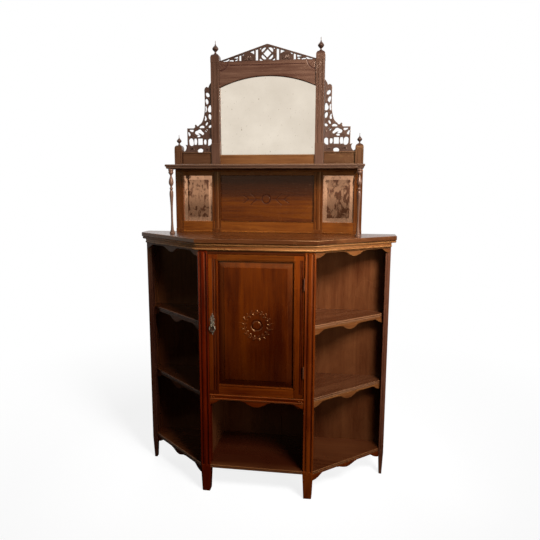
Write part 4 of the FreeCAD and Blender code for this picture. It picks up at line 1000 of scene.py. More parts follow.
class CHIFFONIER_OT_shelves(Step):
    """Makes the canted niche shelves and the bottom shelf, with reeded front edges"""
    bl_idname = "chiffonier.shelves"
    bl_label = "Shelves"

    def execute(self, context):
        finish = finishes(context)
        for height in ("high", "low"):
            top = reach(f"niche_shelf_{height}_right")[1][2]
            for side, bench in pair(51, 57):
                for low, high, set_back in reeded_layers(top):
                    start, end = cant_line(12 + set_back, 20 + set_back)
                    plan = [start, end, (OUTER_INNER, OUTER_BACK_Y),
                            (RETURN_INNER, OUTER_BACK_Y), (RETURN_INNER, BACK_Y),
                            (SIDE_OUTER, BACK_Y), (SIDE_OUTER, POST_BACK_Y),
                            (POST_OUTER, POST_BACK_Y)]
                    front = cant_front(start, end)
                    bench.slab(plan, low, high, [(high, 3.2, front), (low, 3.2, front)], 0)
                bench.hand_over(f"niche_shelf_{height}_{side}_board",
                                finish["shelf_" + side], CARCASE,
                                f"niche_shelf_{height}_{side}")
        bench = Bench(61)
        for low, high, set_back in reeded_layers(FLOOR_TOP):
            middle_y = FACE_Y + 1 + set_back
            start, end = cant_line(6 + set_back, 4 + set_back)
            plan = both_plans([
                (POST_INNER, middle_y), (POST_INNER, POST_BACK_Y), (POST_OUTER, POST_BACK_Y),
                start, end, (OUTER_INNER, OUTER_BACK_Y), (RETURN_INNER, OUTER_BACK_Y),
                (RETURN_INNER, BACK_Y)])
            right = cant_front(start, end)

            def front(spot, right=right, middle_y=middle_y):
                return (abs(spot.y - middle_y) < 0.5
                        or right(Vector((abs(spot.x), spot.y, spot.z))))
            bench.slab(plan, low, high, [(high, 3.2, front), (low, 3.2, front)], 0)
        # Cuts the board at the cupboard's sides, so that the painted shade stops there.
        for x in (-SIDE_OUTER, -219, 219, SIDE_OUTER):
            whole = bench.mesh.verts[:] + bench.mesh.edges[:] + bench.mesh.faces[:]
            bmesh.ops.bisect_plane(bench.mesh, geom=whole, plane_co=(x * MM, 0, 0),
                                   plane_no=(1, 0, 0))
        # Painted shade: the cupboard's floor under the door is darkened as if in shadow.
        bench.darken(lambda spot: abs(spot.x) < 220 and spot.y > -155, 0.9, every=True)
        bench.hand_over("bottom_shelf_board", finish["floor_level"], CARCASE, "bottom_shelf")
        return {"FINISHED"}


def scallop(run, bracket, drop, half, strip=7):
    """Outline of an apron: a belly bracket at each end and a bow in the middle."""
    middle = run / 2
    long, deep = bracket
    left = [(0, -deep)]
    left += [(long * along, -strip - (deep - strip) * down, 1) for along, down in
             ((0.2, 0.97), (0.45, 0.8), (0.68, 0.54), (0.86, 0.24))]
    left += [(long, -strip - 1.2), (long + 2, -strip)]
    bow = [(middle - half, -strip), (middle - half + 1, -strip - 2.6),
           (middle - half * 0.78, -strip - 3.4, 1), (middle - half * 0.74, -strip - 5)]
    bow += [(middle - half * along, -strip - (drop - strip) * down, 1) for along, down in
            ((0.58, 0.52), (0.38, 0.76), (0.16, 0.95), (0, 1))]
    right = [(2 * middle - place[0], *place[1:]) for place in reversed(bow[:-1])]
    ends = [(run - place[0], *place[1:]) for place in reversed(left)]
    return left + bow + right + ends + [(run, 0), (0, 0)]


APRON_THICK = 12


def along_cant(line, top):
    """Length and place of an apron that hangs 2 mm behind a canted line."""
    (x_from, y_from), (x_to, y_to) = line
    angle = math.atan2(y_to - y_from, x_to - x_from)
    back = APRON_THICK + 2
    place = canted(x_from - back * math.sin(angle), y_from + back * math.cos(angle), top, angle)
    return math.hypot(x_to - x_from, y_to - y_from) + 7, place


class CHIFFONIER_OT_aprons(Step):
    """Makes the scalloped aprons under the frieze and the shelves"""
    bl_idname = "chiffonier.aprons"
    bl_label = "Aprons"

    def execute(self, context):
        finish = finishes(context)
        for side, bench in pair(71, 75):
            run, place = along_cant(cant_line(1, -2, OUTER_OUTER - 4), FRIEZE_LOW)
            bench.sawn([scallop(run, (50, 27), 28, 56)], APRON_THICK, 1.6, place)
            for node in ("niche_shelf_high_right", "niche_shelf_low_right"):
                run, place = along_cant(cant_line(12, 20), reach(node)[0][2])
                bench.sawn([scallop(run, (50, 27), 28, 56)], APRON_THICK, 1.6, place)
            nodes = ("scalloped_aprons",) if side == "right" else ()
            bench.hand_over(f"aprons_{side}", finish["moulding_" + side], CARCASE, *nodes)
        bench = Bench(78)
        run, place = along_cant(cant_line(6, 4), LEG_TOP)
        bench.sawn([scallop(run, (54, 27), 20, 56, 4)], APRON_THICK, 1.6, place)
        bench.both_sides()
        bench.hand_over("foot_apron_pair", finish["frame_level"], CARCASE, "foot_aprons")
        bench = Bench(83)
        (left, _, _), (right, back, head) = reach("centre_apron")
        bench.sawn([scallop(right - left, (42, 22), 26, 62, 3)], APRON_THICK, 1.6,
                   upright(left, back, head))
        bench.hand_over("centre_apron_bow", finish["frame_level"], CARCASE, "centre_apron")
        return {"FINISHED"}


class CHIFFONIER_OT_rails(Step):
    """Makes the rails above and below the door and the cupboard's inner boards"""
    bl_idname = "chiffonier.rails"
    bl_label = "Rails and cupboard"

    def execute(self, context):
        finish = finishes(context)
        bench = Bench(91)
        bench.board(*reach("head_rail"), 0.8)
        bench.hand_over("head_rail_board", finish["frame_shade"], CARCASE, "head_rail")
        bench = Bench(93)
        (_, _, rail_low), (half, rail_back, rail_top) = reach("door_bearer_rail")
        bench.board((-half, FACE_Y + 3, rail_low + 6), (half, rail_back, rail_top), 0.8, lay=False)
        for low, high in ((rail_low + 15, rail_top - 0.4), (rail_low, rail_low + 7)):
            bench.board((-half, FACE_Y, low), (half, rail_back - 1, high), 3, 3, lay=False)
        for x in (-197, -187, 190, 180):
            bench.board((x, FACE_Y - 1.5, rail_low + 7.5), (x + 7, FACE_Y + 10, rail_low + 14.5),
                        2.4, 3, lay=False)
        bench.lay()
        bench.hand_over("bearer_moulding", finish["frame_level"], CARCASE, "door_bearer_rail")
        low, high = span("shelf_battens")
        bench = Bench(95)
        bench.board((SIDE_INNER - 18, low.y, low.z), (SIDE_INNER, high.y, high.z), 1.2)
        bench.both_sides()
        bench.hand_over("battens", finish["boards_level"], CARCASE, "shelf_battens")
        for node, name in (("cupboard_shelf", "boards_level"), ("door_stop", "boards_up")):
            bench = Bench(97)
            bench.board(*span(node), easing=1)
            bench.hand_over(node + "_board", finish[name], CARCASE, node)
        bench = Bench(99)
        (_, front, low), (_, _, high) = reach("cupboard_floor")
        bench.slab(both_plans([(POST_INNER, front), (POST_INNER, POST_BACK_Y),
                               (SIDE_INNER, POST_BACK_Y), (SIDE_INNER, BACK_Y)]), low, high)
        bench.hand_over("cupboard_floor_board", finish["boards_level"], CARCASE, "cupboard_floor")
        return {"FINISHED"}


# ---------------------------------------------------------------- door

def fluted_plan(left, right, flutes):
    """Plan of a door stile whose face is cut by round flutes."""
    plan = [(left, DOOR_BACK), (left, DOOR_FACE)]
    for start, end in flutes:
        plan += bowed((start, DOOR_FACE), (end, DOOR_FACE), -2.4, 6)
        plan.append((end, DOOR_FACE))
    return plan + [(right, DOOR_FACE), (right, DOOR_BACK)]


class CHIFFONIER_OT_door_frame(Step):
    """Makes the door's fluted stiles, its rails and the bead around the panel"""
    bl_idname = "chiffonier.door_frame"
    bl_label = "Door frame"

    def execute(self, context):
        finish = finishes(context)
        bead = context.scene.chiffonier_sizes.bead / MM
        foot, head = 472, 1040
        stiles = (("lock", 101, LOCK_EDGE, OPENING_LEFT, ((-184, -176.8), (-174.8, -167.6))),
                  ("hinge", 105, OPENING_RIGHT, HINGE_EDGE, ((181.5, 187), (188.6, 194))))
        for kind, seed, left, right, flutes in stiles:
            node = "door_stile_" + kind
            bench = Bench(seed)
            bench.prism(fluted_plan(left, right, flutes), head - foot, level(foot))
            if kind == "lock":
                case_low, case_high = span("lock_case")
                around_case = Vector((0, 0.3, 0.3))
                bench.pocket(left, case_low - around_case, case_high + around_case,
                             case_high.x - left + 0.3)
            plain = fluted_plan(left, right, ())
            bench.prism(plain, foot - DOOR_FOOT, level(DOOR_FOOT))
            bench.prism(plain, DOOR_HEAD - head, level(head))
            bench.darken(lambda spot: DOOR_FACE + 0.8 < spot.y < DOOR_FACE + 4, 0.75)
            # Painted highlight, with some rubbed wear: the flat face beside the flutes is marked
            # lighter.
            bench.wear([face for face in bench.loose("faces") if face.normal.y < -0.9
                        and left < face.calc_center_median().x / MM < flutes[0][0]], 0.8)
            bench.ease(bench.edges_at(lambda spot: abs(spot.y - DOOR_FACE) < 0.01
                                      and min(abs(spot.x - left), abs(spot.x - right)) < 0.01),
                       0.8)
            bench.lay()
            bench.hand_over(node + "_fluted", finish["door_up"], CARCASE, node,
                            body="door")
        for node, seed in (("door_rail_top", 107), ("door_rail_bottom", 109)):
            low, high = span(node)
            bench = Bench(seed)
            bench.board((OPENING_LEFT - 0.2, DOOR_FACE, low.z),
                        (OPENING_RIGHT + 0.2, DOOR_BACK, high.z), 0.8)
            wood = finish["door_head" if node == "door_rail_top" else "door_level"]
            bench.hand_over(node + "_board", wood, CARCASE, node, body="door")
        bench = Bench(111)
        bench.strip_frame((OPENING_LEFT + 0.6, OPENING_FOOT + 0.6),
                          (OPENING_RIGHT - 0.6, OPENING_HEAD - 0.6), bead + 1, 8.6,
                          upright(0, DOOR_FACE + 7.4, 0), 2.1)
        # Painted highlight on the bead's faces that turn right and up, towards the lamps.
        bench.wear([face for face in bench.mesh.faces
                    if face.normal.x > 0.3 or face.normal.z > 0.3], 0.5)
        bench.hand_over("door_panel_bead", finish["door_up"], CARCASE, body="door")
        return {"FINISHED"}


def leaf(x, z, at_x, at_z, angle, long, wide, rise):
    """Height of a pointed leaf at a spot."""
    across, up = x - at_x, z - at_z
    along = across * math.cos(angle) + up * math.sin(angle)
    side = -across * math.sin(angle) + up * math.cos(angle)
    reach = 2 * along / long
    if abs(reach) >= 1:
        return 0.0
    edge = wide / 2 * (1 - reach * reach) ** 0.8 * (1 - 0.25 * reach)
    if abs(side) >= edge:
        return 0.0
    crown = math.sqrt(1 - (side / edge) ** 2)
    vein = math.exp(-(side / 0.55) ** 2) * 0.45
    return rise * crown * (0.7 + 0.3 * (1 - reach * reach)) * (1 - vein)


WREATH = (3.7, 764)
WREATH_WIDE, WREATH_HIGH = 53, 55
LEAF_PAIRS = 17


def wreath_leaves():
    """Places and directions of the leaves around the wreath."""
    leaves = []
    for number in range(LEAF_PAIRS):
        round_at = -QUARTER + (number + 0.5) / LEAF_PAIRS * 2 * math.pi
        forward = 1 if math.cos(round_at) >= 0 else -1
        for side in (-1, 1):
            size = 1 + 0.16 * math.sin(number * 2.3 + side)
            reach = 1 + side * 0.115
            x = WREATH[0] + WREATH_WIDE * reach * math.cos(round_at)
            z = WREATH[1] + WREATH_HIGH * reach * math.sin(round_at)
            along = round_at + forward * QUARTER - side * forward * 0.75
            leaves.append((x, z, along, 14 * size, 6.6 * size))
    return leaves


class CHIFFONIER_OT_door_panel(Step):
    """Makes the fielded panel with its carved wreath"""
    bl_idname = "chiffonier.door_panel"
    bl_label = "Door panel"

    def execute(self, context):
        finish = finishes(context)
        rise = context.scene.chiffonier_sizes.leaf_rise / MM
        field_y = -156.4
        field_low, field_high = (-132.5, 524), (131.1, 1005)
        leaves = wreath_leaves()

        def surface(x, z):
            height, deep = 0.0, 0.0
            dx, dz = x - WREATH[0], z - WREATH[1]
            if abs(dx) < 66 and abs(dz) < 78:
                for at_x, at_z, angle, long, wide in leaves:
                    if abs(x - at_x) < 9 and abs(z - at_z) < 9:
                        height = max(height, leaf(x, z, at_x, at_z, angle, long, wide, rise))
                oval = math.hypot(dx / WREATH_WIDE, dz / WREATH_HIGH)
                stem = 1 - abs(oval - 1) * WREATH_WIDE / 1.6
                height = max(height, 0.9 * max(0.0, stem))
                trench = groove(math.hypot(dx, dz) - 20.5, 9)
                height -= 2.2 * trench
                deep = max(deep, min(0.7, 1.6 * trench))
                # The ground close to the leaves is darkened.
                if height <= 0.05 and 0.72 < oval < 1.32:
                    near = min((math.hypot(x - a, z - b) for a, b, *_ in leaves))
                    deep = max(deep, 0.5 * max(0.0, 1 - near / 9))
            return x, field_y - height, z, deep

        bench = Bench(128)
        columns = spaced(field_low[0], field_high[0], WREATH[0] - 62, WREATH[0] + 62, 1.0, 9)
        rows = spaced(field_low[1], field_high[1], WREATH[1] - 74, WREATH[1] + 74, 1.0, 12)
        rim = bench.relief(columns, rows, surface)
        for back_to, grow, worn_and_lit in ((-155.9, 0.4, 0.9), (-154.2, 0.5, 0.2), (-148.2, 22.3, 0),
                                    (-147.6, 0.4, 0), (-147.4, 3.2, 0), (-143, 0.3, 0)):
            rim = bench.skirt(rim, back_to, grow, worn_and_lit)
        bench.close(rim)
        # Painted shade on the left and lower bevels, which turn away from the lamps.
        bench.darken(lambda spot: spot.y > -153 and (
            spot.x < field_low[0] - 8 or spot.z < field_low[1] - 8), 1.0, every=True)
        slopes = [face for face in bench.mesh.faces if -0.99 < face.normal.y < -0.9
                  and face.calc_area() > 5e-4]
        # Painted highlight on the upper and right bevels, which face the lamps.
        bench.wear([face for face in slopes if face.normal.z > 0.1], 0.4)
        bench.wear([face for face in slopes if face.normal.x > 0.1], 0.12)
        bench.hand_over("fielded_panel", finish["door_panel"], CARCASE, "door_panel",
                        body="door", soft=25)
        return {"FINISHED"}


def pierced_plate():
    """Loops of the handle's pierced backplate, about its middle."""
    right = [(0, 46), (2.4, 43, 1), (2.0, 38.5, 1), (5.6, 36.5, 1), (7.6, 32, 1), (5.2, 28.5, 1),
             (8.6, 25, 1), (11.4, 20, 1), (9.4, 14.5, 1), (6.6, 11.5, 1), (8.6, 6, 1),
             (8.8, 0, 1), (6.8, -6, 1), (10.6, -10, 1), (12, -17, 1), (9.2, -23, 1),
             (6.2, -26, 1), (8.2, -30.5, 1), (6.4, -35, 1), (3.2, -37, 1), (3.0, -41, 1)]
    outline = right + [(0, -46)] + [(-x, z, 1) for x, z, *_ in reversed(right[1:])]
    holes = []
    for x, z, wide, high in ((4.8, 31.5, 1.6, 2.6), (6.6, 19.5, 2.4, 3.6), (6.9, -16.5, 2.5, 4),
                             (4.4, -31, 1.7, 2.4)):
        for side in (-1, 1):
            holes.append([(side * x + wide * math.cos(k * QUARTER),
                           z + high * math.sin(k * QUARTER), 1) for k in range(4)])
    holes.append([(0, 27, 1), (-1.6, 22.5, 1), (0, 18, 1), (1.6, 22.5, 1)])
    holes.append([(0, -20, 1), (-2, -25.5, 1), (0, -31, 1), (2, -25.5, 1)])
    return [outline] + holes


class CHIFFONIER_OT_handle(Step):
    """Makes the pierced backplate and its ring drop, and dresses hinges and lock"""
    bl_idname = "chiffonier.handle"
    bl_label = "Handle, hinges and lock"

    def execute(self, context):
        finish = finishes(context)
        low, high = span("handle_plate")
        plate_x = (low.x + high.x) / 2
        pivot = Vector((plate_x, DOOR_FACE - 7, 761))
        bench = Bench(131)
        bench.sawn(pierced_plate(), 1.9, 0.55, upright(plate_x, DOOR_FACE, pivot.z + 2), 4)
        for left in (plate_x - 6.6, plate_x + 4.4):
            bench.board((left, pivot.y, pivot.z - 2.8), (left + 2.2, pivot.y + 5.5, pivot.z + 2.8),
                        0.9)
        bench.turned([(0, -6.6), (2.6, -6.6), (3.1, -6, 1), (3.1, -4.6, 1), (1.3, -4.3),
                      (1.3, 4.3), (3.1, 4.6, 1), (3.1, 6, 1), (2.6, 6.6), (0, 6.6)],
                     0, 0, 0, 20)
        bench.hang(pivot)
        bench.darken(lambda spot: spot.y > -160.5 and math.hypot(
            spot.x - plate_x, spot.z - pivot.z + 17) < 9.5, 0.9, every=True)
        bench.hand_over("handle_backplate", finish["brass"], BRASS, "handle_plate",
                        body="door")
        bench = Bench(135)
        bmesh.ops.create_circle(bench.mesh, segments=12, radius=1.8 * MM,
                                matrix=Matrix.Translation((12.5 * MM, 0, 0)))
        bmesh.ops.spin(bench.mesh, geom=bench.loose() + bench.loose("edges"), cent=(0, 0, 0),
                       axis=(0, 1, 0), angle=2 * math.pi, steps=40, use_merge=True)
        bench.outward()
        for vert in bench.loose():
            weight = 0.5 - vert.co.z / (28 * MM)
            vert.co.y *= 1 + 0.25 * weight
        bmesh.ops.translate(bench.mesh, verts=bench.loose(),
                            vec=(pivot - Vector((0, 0, 17.1))) * MM)
        bench.lay()
        bench.turned([(1.35, -4), (2.6, -4), (3, -3.4, 1), (3, 3.4, 1), (2.6, 4), (1.35, 4)],
                     0, 0, 0, 20)
        bench.hang(pivot)
        bench.board(pivot - Vector((1.5, 1.5, 5.2)), pivot + Vector((1.5, 1.5, -2)), 0.5)
        bench.hand_over("ring_drop", finish["ring_brass"], BRASS, "handle_ring", body="ring",
                        soft=50)
        nodes = frame["nodes"]
        for name in ("carcase_hinge_leaves", "door_hinge_leaves", "hinge_pins"):
            cover(nodes[name], finish["dull_brass"])
        for name in ("lock_case", "strike_plate", "lock_bolt"):
            cover(nodes[name], finish["steel"])
        return {"FINISHED"}


def cover(node, material):
    """Gives a frame node a better finish."""
    if not node.material_slots:
        raise RuntimeError(f"{node.name} has no material slot")
    for slot in node.material_slots:
        slot.material = material


# ---------------------------------------------------------------- lower frame

class CHIFFONIER_OT_lower_frame(Step):
    """Makes the rails, stiles and beads between the top and the shelf"""
    bl_idname = "chiffonier.lower_frame"
    bl_label = "Lower frame"

    def execute(self, context):
        finish = finishes(context)
        bench = Bench(141)
        bench.board(*reach("lower_rail"), 1)
        bench.board((-SHORT_OUTER, RAIL_Y - 2.5, TOP_Z), (SHORT_OUTER, RAIL_Y + 2, TOP_Z + 7),
                    2.2, 3)
        bench.hand_over("lower_rail_board", finish["lower_level"], UPPER, "lower_rail")
        bench = Bench(144)
        bench.board(*reach("lower_head_rail"), 1)
        bench.board((-SHORT_OUTER, RAIL_Y - 3.5, SHELF_LOW - 9),
                    (SHORT_OUTER, RAIL_Y + 2, SHELF_LOW), 2.4, 3)
        bench.hand_over("lower_head_rail_board", finish["lower_level"], UPPER, "lower_head_rail")
        bench = Bench(147)
        back, foot = LINING_Y - 1, TOP_Z + 16
        long = SHELF_LOW - 9 - foot
        inner = [(MIRROR_HALF, back), (MIRROR_HALF, 146.5), (222, 146.5), (223.5, 148.5),
                 (225.5, 148.5), (227, 146.5)] + bowed((227, 146.5), (243, 146.5), 1.2, 6)[1:] + [
                     (243, 146.5), (244.5, 148.5), (246.5, 148.5), (248, 146.5),
                     (TALL_OUTER, 146.5), (TALL_OUTER, back)]
        bench.prism(inner, long, level(foot))
        bench.lay()
        bench.board((MIRROR_HALF - 1, 144.5, TOP_Z), (TALL_OUTER + 1, back, foot + 1), 1.2)
        outer = [(SHORT_INNER, back), (SHORT_INNER, 147), (401, 147), (402.5, 149), (404, 149),
                 (405.5, 147), (SHORT_OUTER, 147), (SHORT_OUTER, back)]
        bench.prism(outer, long, level(foot))
        bench.lay()
        bench.board((SHORT_INNER - 1, 145, TOP_Z), (SHORT_OUTER + 1, back, foot + 1), 1.2)
        bench.both_sides()
        bench.hand_over("lower_frame_stiles", finish["lower_up"], UPPER, "lower_stiles")
        bench = Bench(153)
        bead = context.scene.chiffonier_sizes.bead / MM
        place = upright(0, 157, 0)
        bench.strip_frame((-MIRROR_HALF + bead, LOWER_FOOT + bead),
                          (MIRROR_HALF - bead, LOWER_HEAD - bead), bead + 0.5, 11, place, 1.7)
        for low, high in ((-SHORT_INNER, -TALL_OUTER), (TALL_OUTER, SHORT_INNER)):
            bench.strip_frame((low + 3, LOWER_FOOT + 3), (high - 3, LOWER_HEAD - 3), 3.5, 10,
                              place, 1.5)
        bench.hand_over("lower_beads", finish["lower_level"], UPPER)
        bench = Bench(157)
        low, high = span("lower_backing")
        bench.planks(even(low.x, high.x, 5), LINING_Y, low.z, high.z)
        bench.hand_over("lower_backing_planks", finish["plain_up"], PLAIN, "lower_backing")
        return {"FINISHED"}


def groove(distance, width):
    """Depth share of a round-bottomed carved line."""
    part = abs(distance) / (width / 2)
    return math.sqrt(1 - part * part) if part < 1 else 0.0


def to_segment(x, z, start, end):
    """Distance from a spot to a straight stroke."""
    dx, dz = end[0] - start[0], end[1] - start[1]
    part = ((x - start[0]) * dx + (z - start[1]) * dz) / (dx * dx + dz * dz)
    part = min(1.0, max(0.0, part))
    return math.hypot(x - start[0] - dx * part, z - start[1] - dz * part)


class CHIFFONIER_OT_centre_panel(Step):
    """Makes the panel with an incised ring and sprays"""
    bl_idname = "chiffonier.centre_panel"
    bl_label = "Centre panel"

    def execute(self, context):
        finish = finishes(context)
        depth = context.scene.chiffonier_sizes.line_depth / MM
        ring_x, ring_z = -4, 1278
        strokes = []
        for side in (-1, 1):
            for near, long, rise in ((27, 77, 0), (45, 27, -26), (45, 27, 26), (80, 26, -17),
                                     (80, 26, 17)):
                start = (ring_x + side * near, ring_z)
                strokes.append((start, (start[0] + side * long, ring_z + rise)))

        def surface(x, z):
            dx, dz = x - ring_x, z - ring_z
            deep = groove(math.hypot(dx, dz) - 19, 6.5)
            if abs(dx) > 26:
                for start, end in strokes:
                    deep = max(deep, groove(to_segment(x, z, start, end), 3.6))
            return x, 156 + 0.35 * depth * deep, z, min(1.0, deep * 3)

        bench = Bench(161)
        columns = spaced(0.5 - MIRROR_HALF, MIRROR_HALF - 0.5, ring_x - 110, ring_x + 110, 1.0, 9)
        rows = spaced(LOWER_FOOT + 0.5, LOWER_HEAD - 0.5, ring_z - 30, ring_z + 30, 1.0, 9)
        rim = bench.relief(columns, rows, surface)
        rim = bench.skirt(rim, 164, 0.4)
        bench.close(rim)
        bench.hand_over("incised_panel", finish["centre"], UPPER, "centre_panel", soft=50)
        return {"FINISHED"}


# ---------------------------------------------------------------- mirrors

def arch_height(x):
    """Underside of the arched rail."""
    radius = (MIRROR_HALF ** 2 + ARCH_RISE ** 2) / (2 * ARCH_RISE)
    return ARCH_SPRING + ARCH_RISE - radius + math.sqrt(max(0.0, radius * radius - x * x))


class CHIFFONIER_OT_mirrors(Step):
    """Makes the arched main mirror and the two bevelled side mirrors"""
    bl_idname = "chiffonier.mirrors"
    bl_label = "Mirrors"

    def execute(self, context):
        finish = finishes(context)
        size = context.scene.chiffonier_sizes
        bench = Bench(171)
        bench.prism([(-MIRROR_HALF, MIRROR_FOOT), (MIRROR_HALF, MIRROR_FOOT)]
                    + [(x, arch_height(x) - 0.3) for x in even(MIRROR_HALF, -MIRROR_HALF, 24)],
                    5, upright(0, GLASS_BACK, 0))
        self.grind(bench, 7, 0.25)
        bench.hand_over("main_mirror_glass", finish["main_glass"], GLASS, "main_mirror", soft=0.5)
        bench = Bench(174)
        bench.prism([(TALL_OUTER, LOWER_FOOT), (SHORT_INNER, LOWER_FOOT),
                     (SHORT_INNER, LOWER_HEAD), (TALL_OUTER, LOWER_HEAD)],
                    5, upright(0, GLASS_BACK, 0))
        self.grind(bench, size.glass_bevel / MM, 1.1)
        bench.both_sides()
        bench.hand_over("side_mirror_glasses", finish["side_glass"], GLASS, "side_mirrors",
                        soft=0.5)
        return {"FINISHED"}

    @staticmethod
    def grind(bench, width, fall):
        """Grinds a bevel around the front face."""
        front = min(bench.loose("faces"), key=lambda face: face.calc_center_median().y)
        if front.normal.y > -0.9:
            raise RuntimeError("the glass has no front face")
        made = bmesh.ops.inset_region(bench.mesh, faces=[front], thickness=width * MM,
                                      use_even_offset=True)
        # Painted glint: the bevel is marked to be lighter.
        bench.wear(made["faces"])
        rim = [vert for vert in bench.loose() if vert not in set(front.verts)
               and abs(vert.co.y - front.verts[0].co.y) < 1e-6]
        bmesh.ops.translate(bench.mesh, verts=rim, vec=(0, fall * MM, 0))
        bench.lay()


# ---------------------------------------------------------------- superstructure

class CHIFFONIER_OT_mirror_shelf(Step):
    """Makes the shelf under the main mirror, with a moulded edge"""
    bl_idname = "chiffonier.mirror_shelf"
    bl_label = "Mirror shelf"

    def execute(self, context):
        finish = finishes(context)
        bench = Bench(181)

        def plan(inset):
            half, front = SHELF_HALF - inset, SHELF_FRONT + inset
            return [(-half, front), (half, front), (half, REAR_Y), (-half, REAR_Y)]
        board_low = SHELF_TOP - 10
        bench.slab(plan(0), board_low, SHELF_TOP,
                   [(SHELF_TOP, 3.4, not_at_back), (board_low, 3.4, not_at_back)])
        bench.slab(plan(4), SHELF_LOW, board_low + 0.4, [(SHELF_LOW, 4.5, not_at_back)])
        bench.hand_over("mirror_shelf_board", finish["upper_level"], UPPER, "mirror_shelf")
        return {"FINISHED"}


class CHIFFONIER_OT_columns(Step):
    """Turns the two slender columns"""
    bl_idname = "chiffonier.columns"
    bl_label = "Columns"

    def execute(self, context):
        finish = finishes(context)
        profile = [(0, 0), (12, 0), (12, 4, 1), (11.4, 8, 1), (8.6, 9.4), (9.4, 12, 1),
                   (8.4, 15, 1), (7, 16), (6.6, 24, 1), (5.2, 44, 1), (4.6, 80, 1),
                   (5.2, 120, 1), (7.2, 155, 1), (8.6, 178, 1), (7.0, 191, 1), (4.7, 195),
                   (6.6, 198, 1), (7.6, 201, 1), (6.6, 204, 1), (4.4, 207), (5.2, 212, 1),
                   (9.0, 219, 1), (10.6, 228, 1), (9.2, 239, 1), (5.4, 252, 1), (4.0, 259),
                   (6.6, 262, 1), (7.8, 265, 1), (10.4, 268, 1), (11, 271, 1), (10.6, 275, 1),
                   (9, 276.5), (11.4, 279), (11.4, 287), (0, 287)]
        for side, bench in pair(191, 194):
            bench.turned(profile, 412, 30, TOP_Z)
            bench.hand_over(f"column_{side}_turned", finish["turned_up"], UPPER, f"column_{side}")
        return {"FINISHED"}


def grooved_plan(left, right, front, back, lines, deep=2.2):
    """Plan of an upper post with narrow lines down its face."""
    plan = [(left, back), (left, front)]
    for line in lines:
        plan += [(line - 1.8, front), (line - 0.7, front + deep), (line + 0.7, front + deep),
                 (line + 1.8, front)]
    return plan + [(right, front), (right, back)]


def cap(bench, plan, foot, head, rise):
    """The top of a post: chamfered shoulders and a low peak."""
    top = bench.prism(plan, head - foot, level(foot))
    bench.ease([edge for edge in bench.loose("edges")
                if all(vert in set(top) for vert in edge.verts)], rise, 4, 0.0)
    bench.darken(lambda spot: spot.z > head - rise * 0.7, 0.5)
    bench.outward()


class CHIFFONIER_OT_upper_posts(Step):
    """Makes the four posts that stand on the shelf, and their finials"""
    bl_idname = "chiffonier.upper_posts"
    bl_label = "Upper posts and finials"

    def execute(self, context):
        finish = finishes(context)
        for side, bench in pair(201, 205):
            self.post(bench, MIRROR_HALF, TALL_OUTER, TALL_TOP, 1528, (226, 244), 16.5)
            bench.hand_over(f"tall_post_{side}_grooved", finish["upper_up"], UPPER,
                            f"tall_post_{side}")
        bench = Bench(211)
        self.post(bench, SHORT_INNER, SHORT_OUTER, SHORT_TOP, 0, (), 15)
        bench.both_sides()
        bench.hand_over("short_post_pair", finish["low_up"], UPPER, "short_posts")
        bench = Bench(215)
        for x, foot, part in ((235, TALL_TOP, 1.0), (412, SHORT_TOP, 0.8)):
            profile = [(0, -1), (8, -1), (8, 1.2, 1), (5.2, 3.4, 1), (3.6, 6.5, 1),
                       (4.4, 9.4, 1), (9.5, 14.5, 1), (13.6, 20.5, 1), (14, 22.5), (13.2, 25, 1),
                       (9.2, 31, 1), (4.6, 36, 1), (2.6, 38.4), (3.1, 40, 1), (1.7, 42, 1),
                       (1.4, 50, 1), (0.9, 56, 1), (0, 57)]
            bench.turned([(radius * part, height * part, *kind)
                          for radius, height, *kind in profile], x, 160, foot, 24)
        bench.both_sides()
        bench.hand_over("finial_set", finish["pierced_up"], UPPER, "finials")
        return {"FINISHED"}

    @staticmethod
    def post(bench, left, right, top, block_top, lines, rise):
        """A square post with a cap; with lines, it is plain up to the height block_top."""
        front, back = UPPER_FACE_Y, REAR_Y
        plain = oblong(left, right, front, back)
        if lines:
            foot = top - 40
            bench.prism(grooved_plan(left + 0.8, right - 0.8, front + 1, back - 0.2, lines),
                        foot - block_top, level(block_top))
            bench.prism(plain, block_top - SHELF_TOP, level(SHELF_TOP))
            bench.ease_sharp(1.0, keep=lambda spot: spot.z < block_top + 1 and spot.y < back)
        else:
            foot = top - 24
            bench.prism(grooved_plan(left, right, front, back, (left + 9, right - 9), 1.6),
                        foot - SHELF_TOP, level(SHELF_TOP))
        cap(bench, plain, foot, top, rise)
        bench.ease_sharp(0.8, sharper=60, keep=lambda spot: spot.z > foot - 1)
        bench.lay()


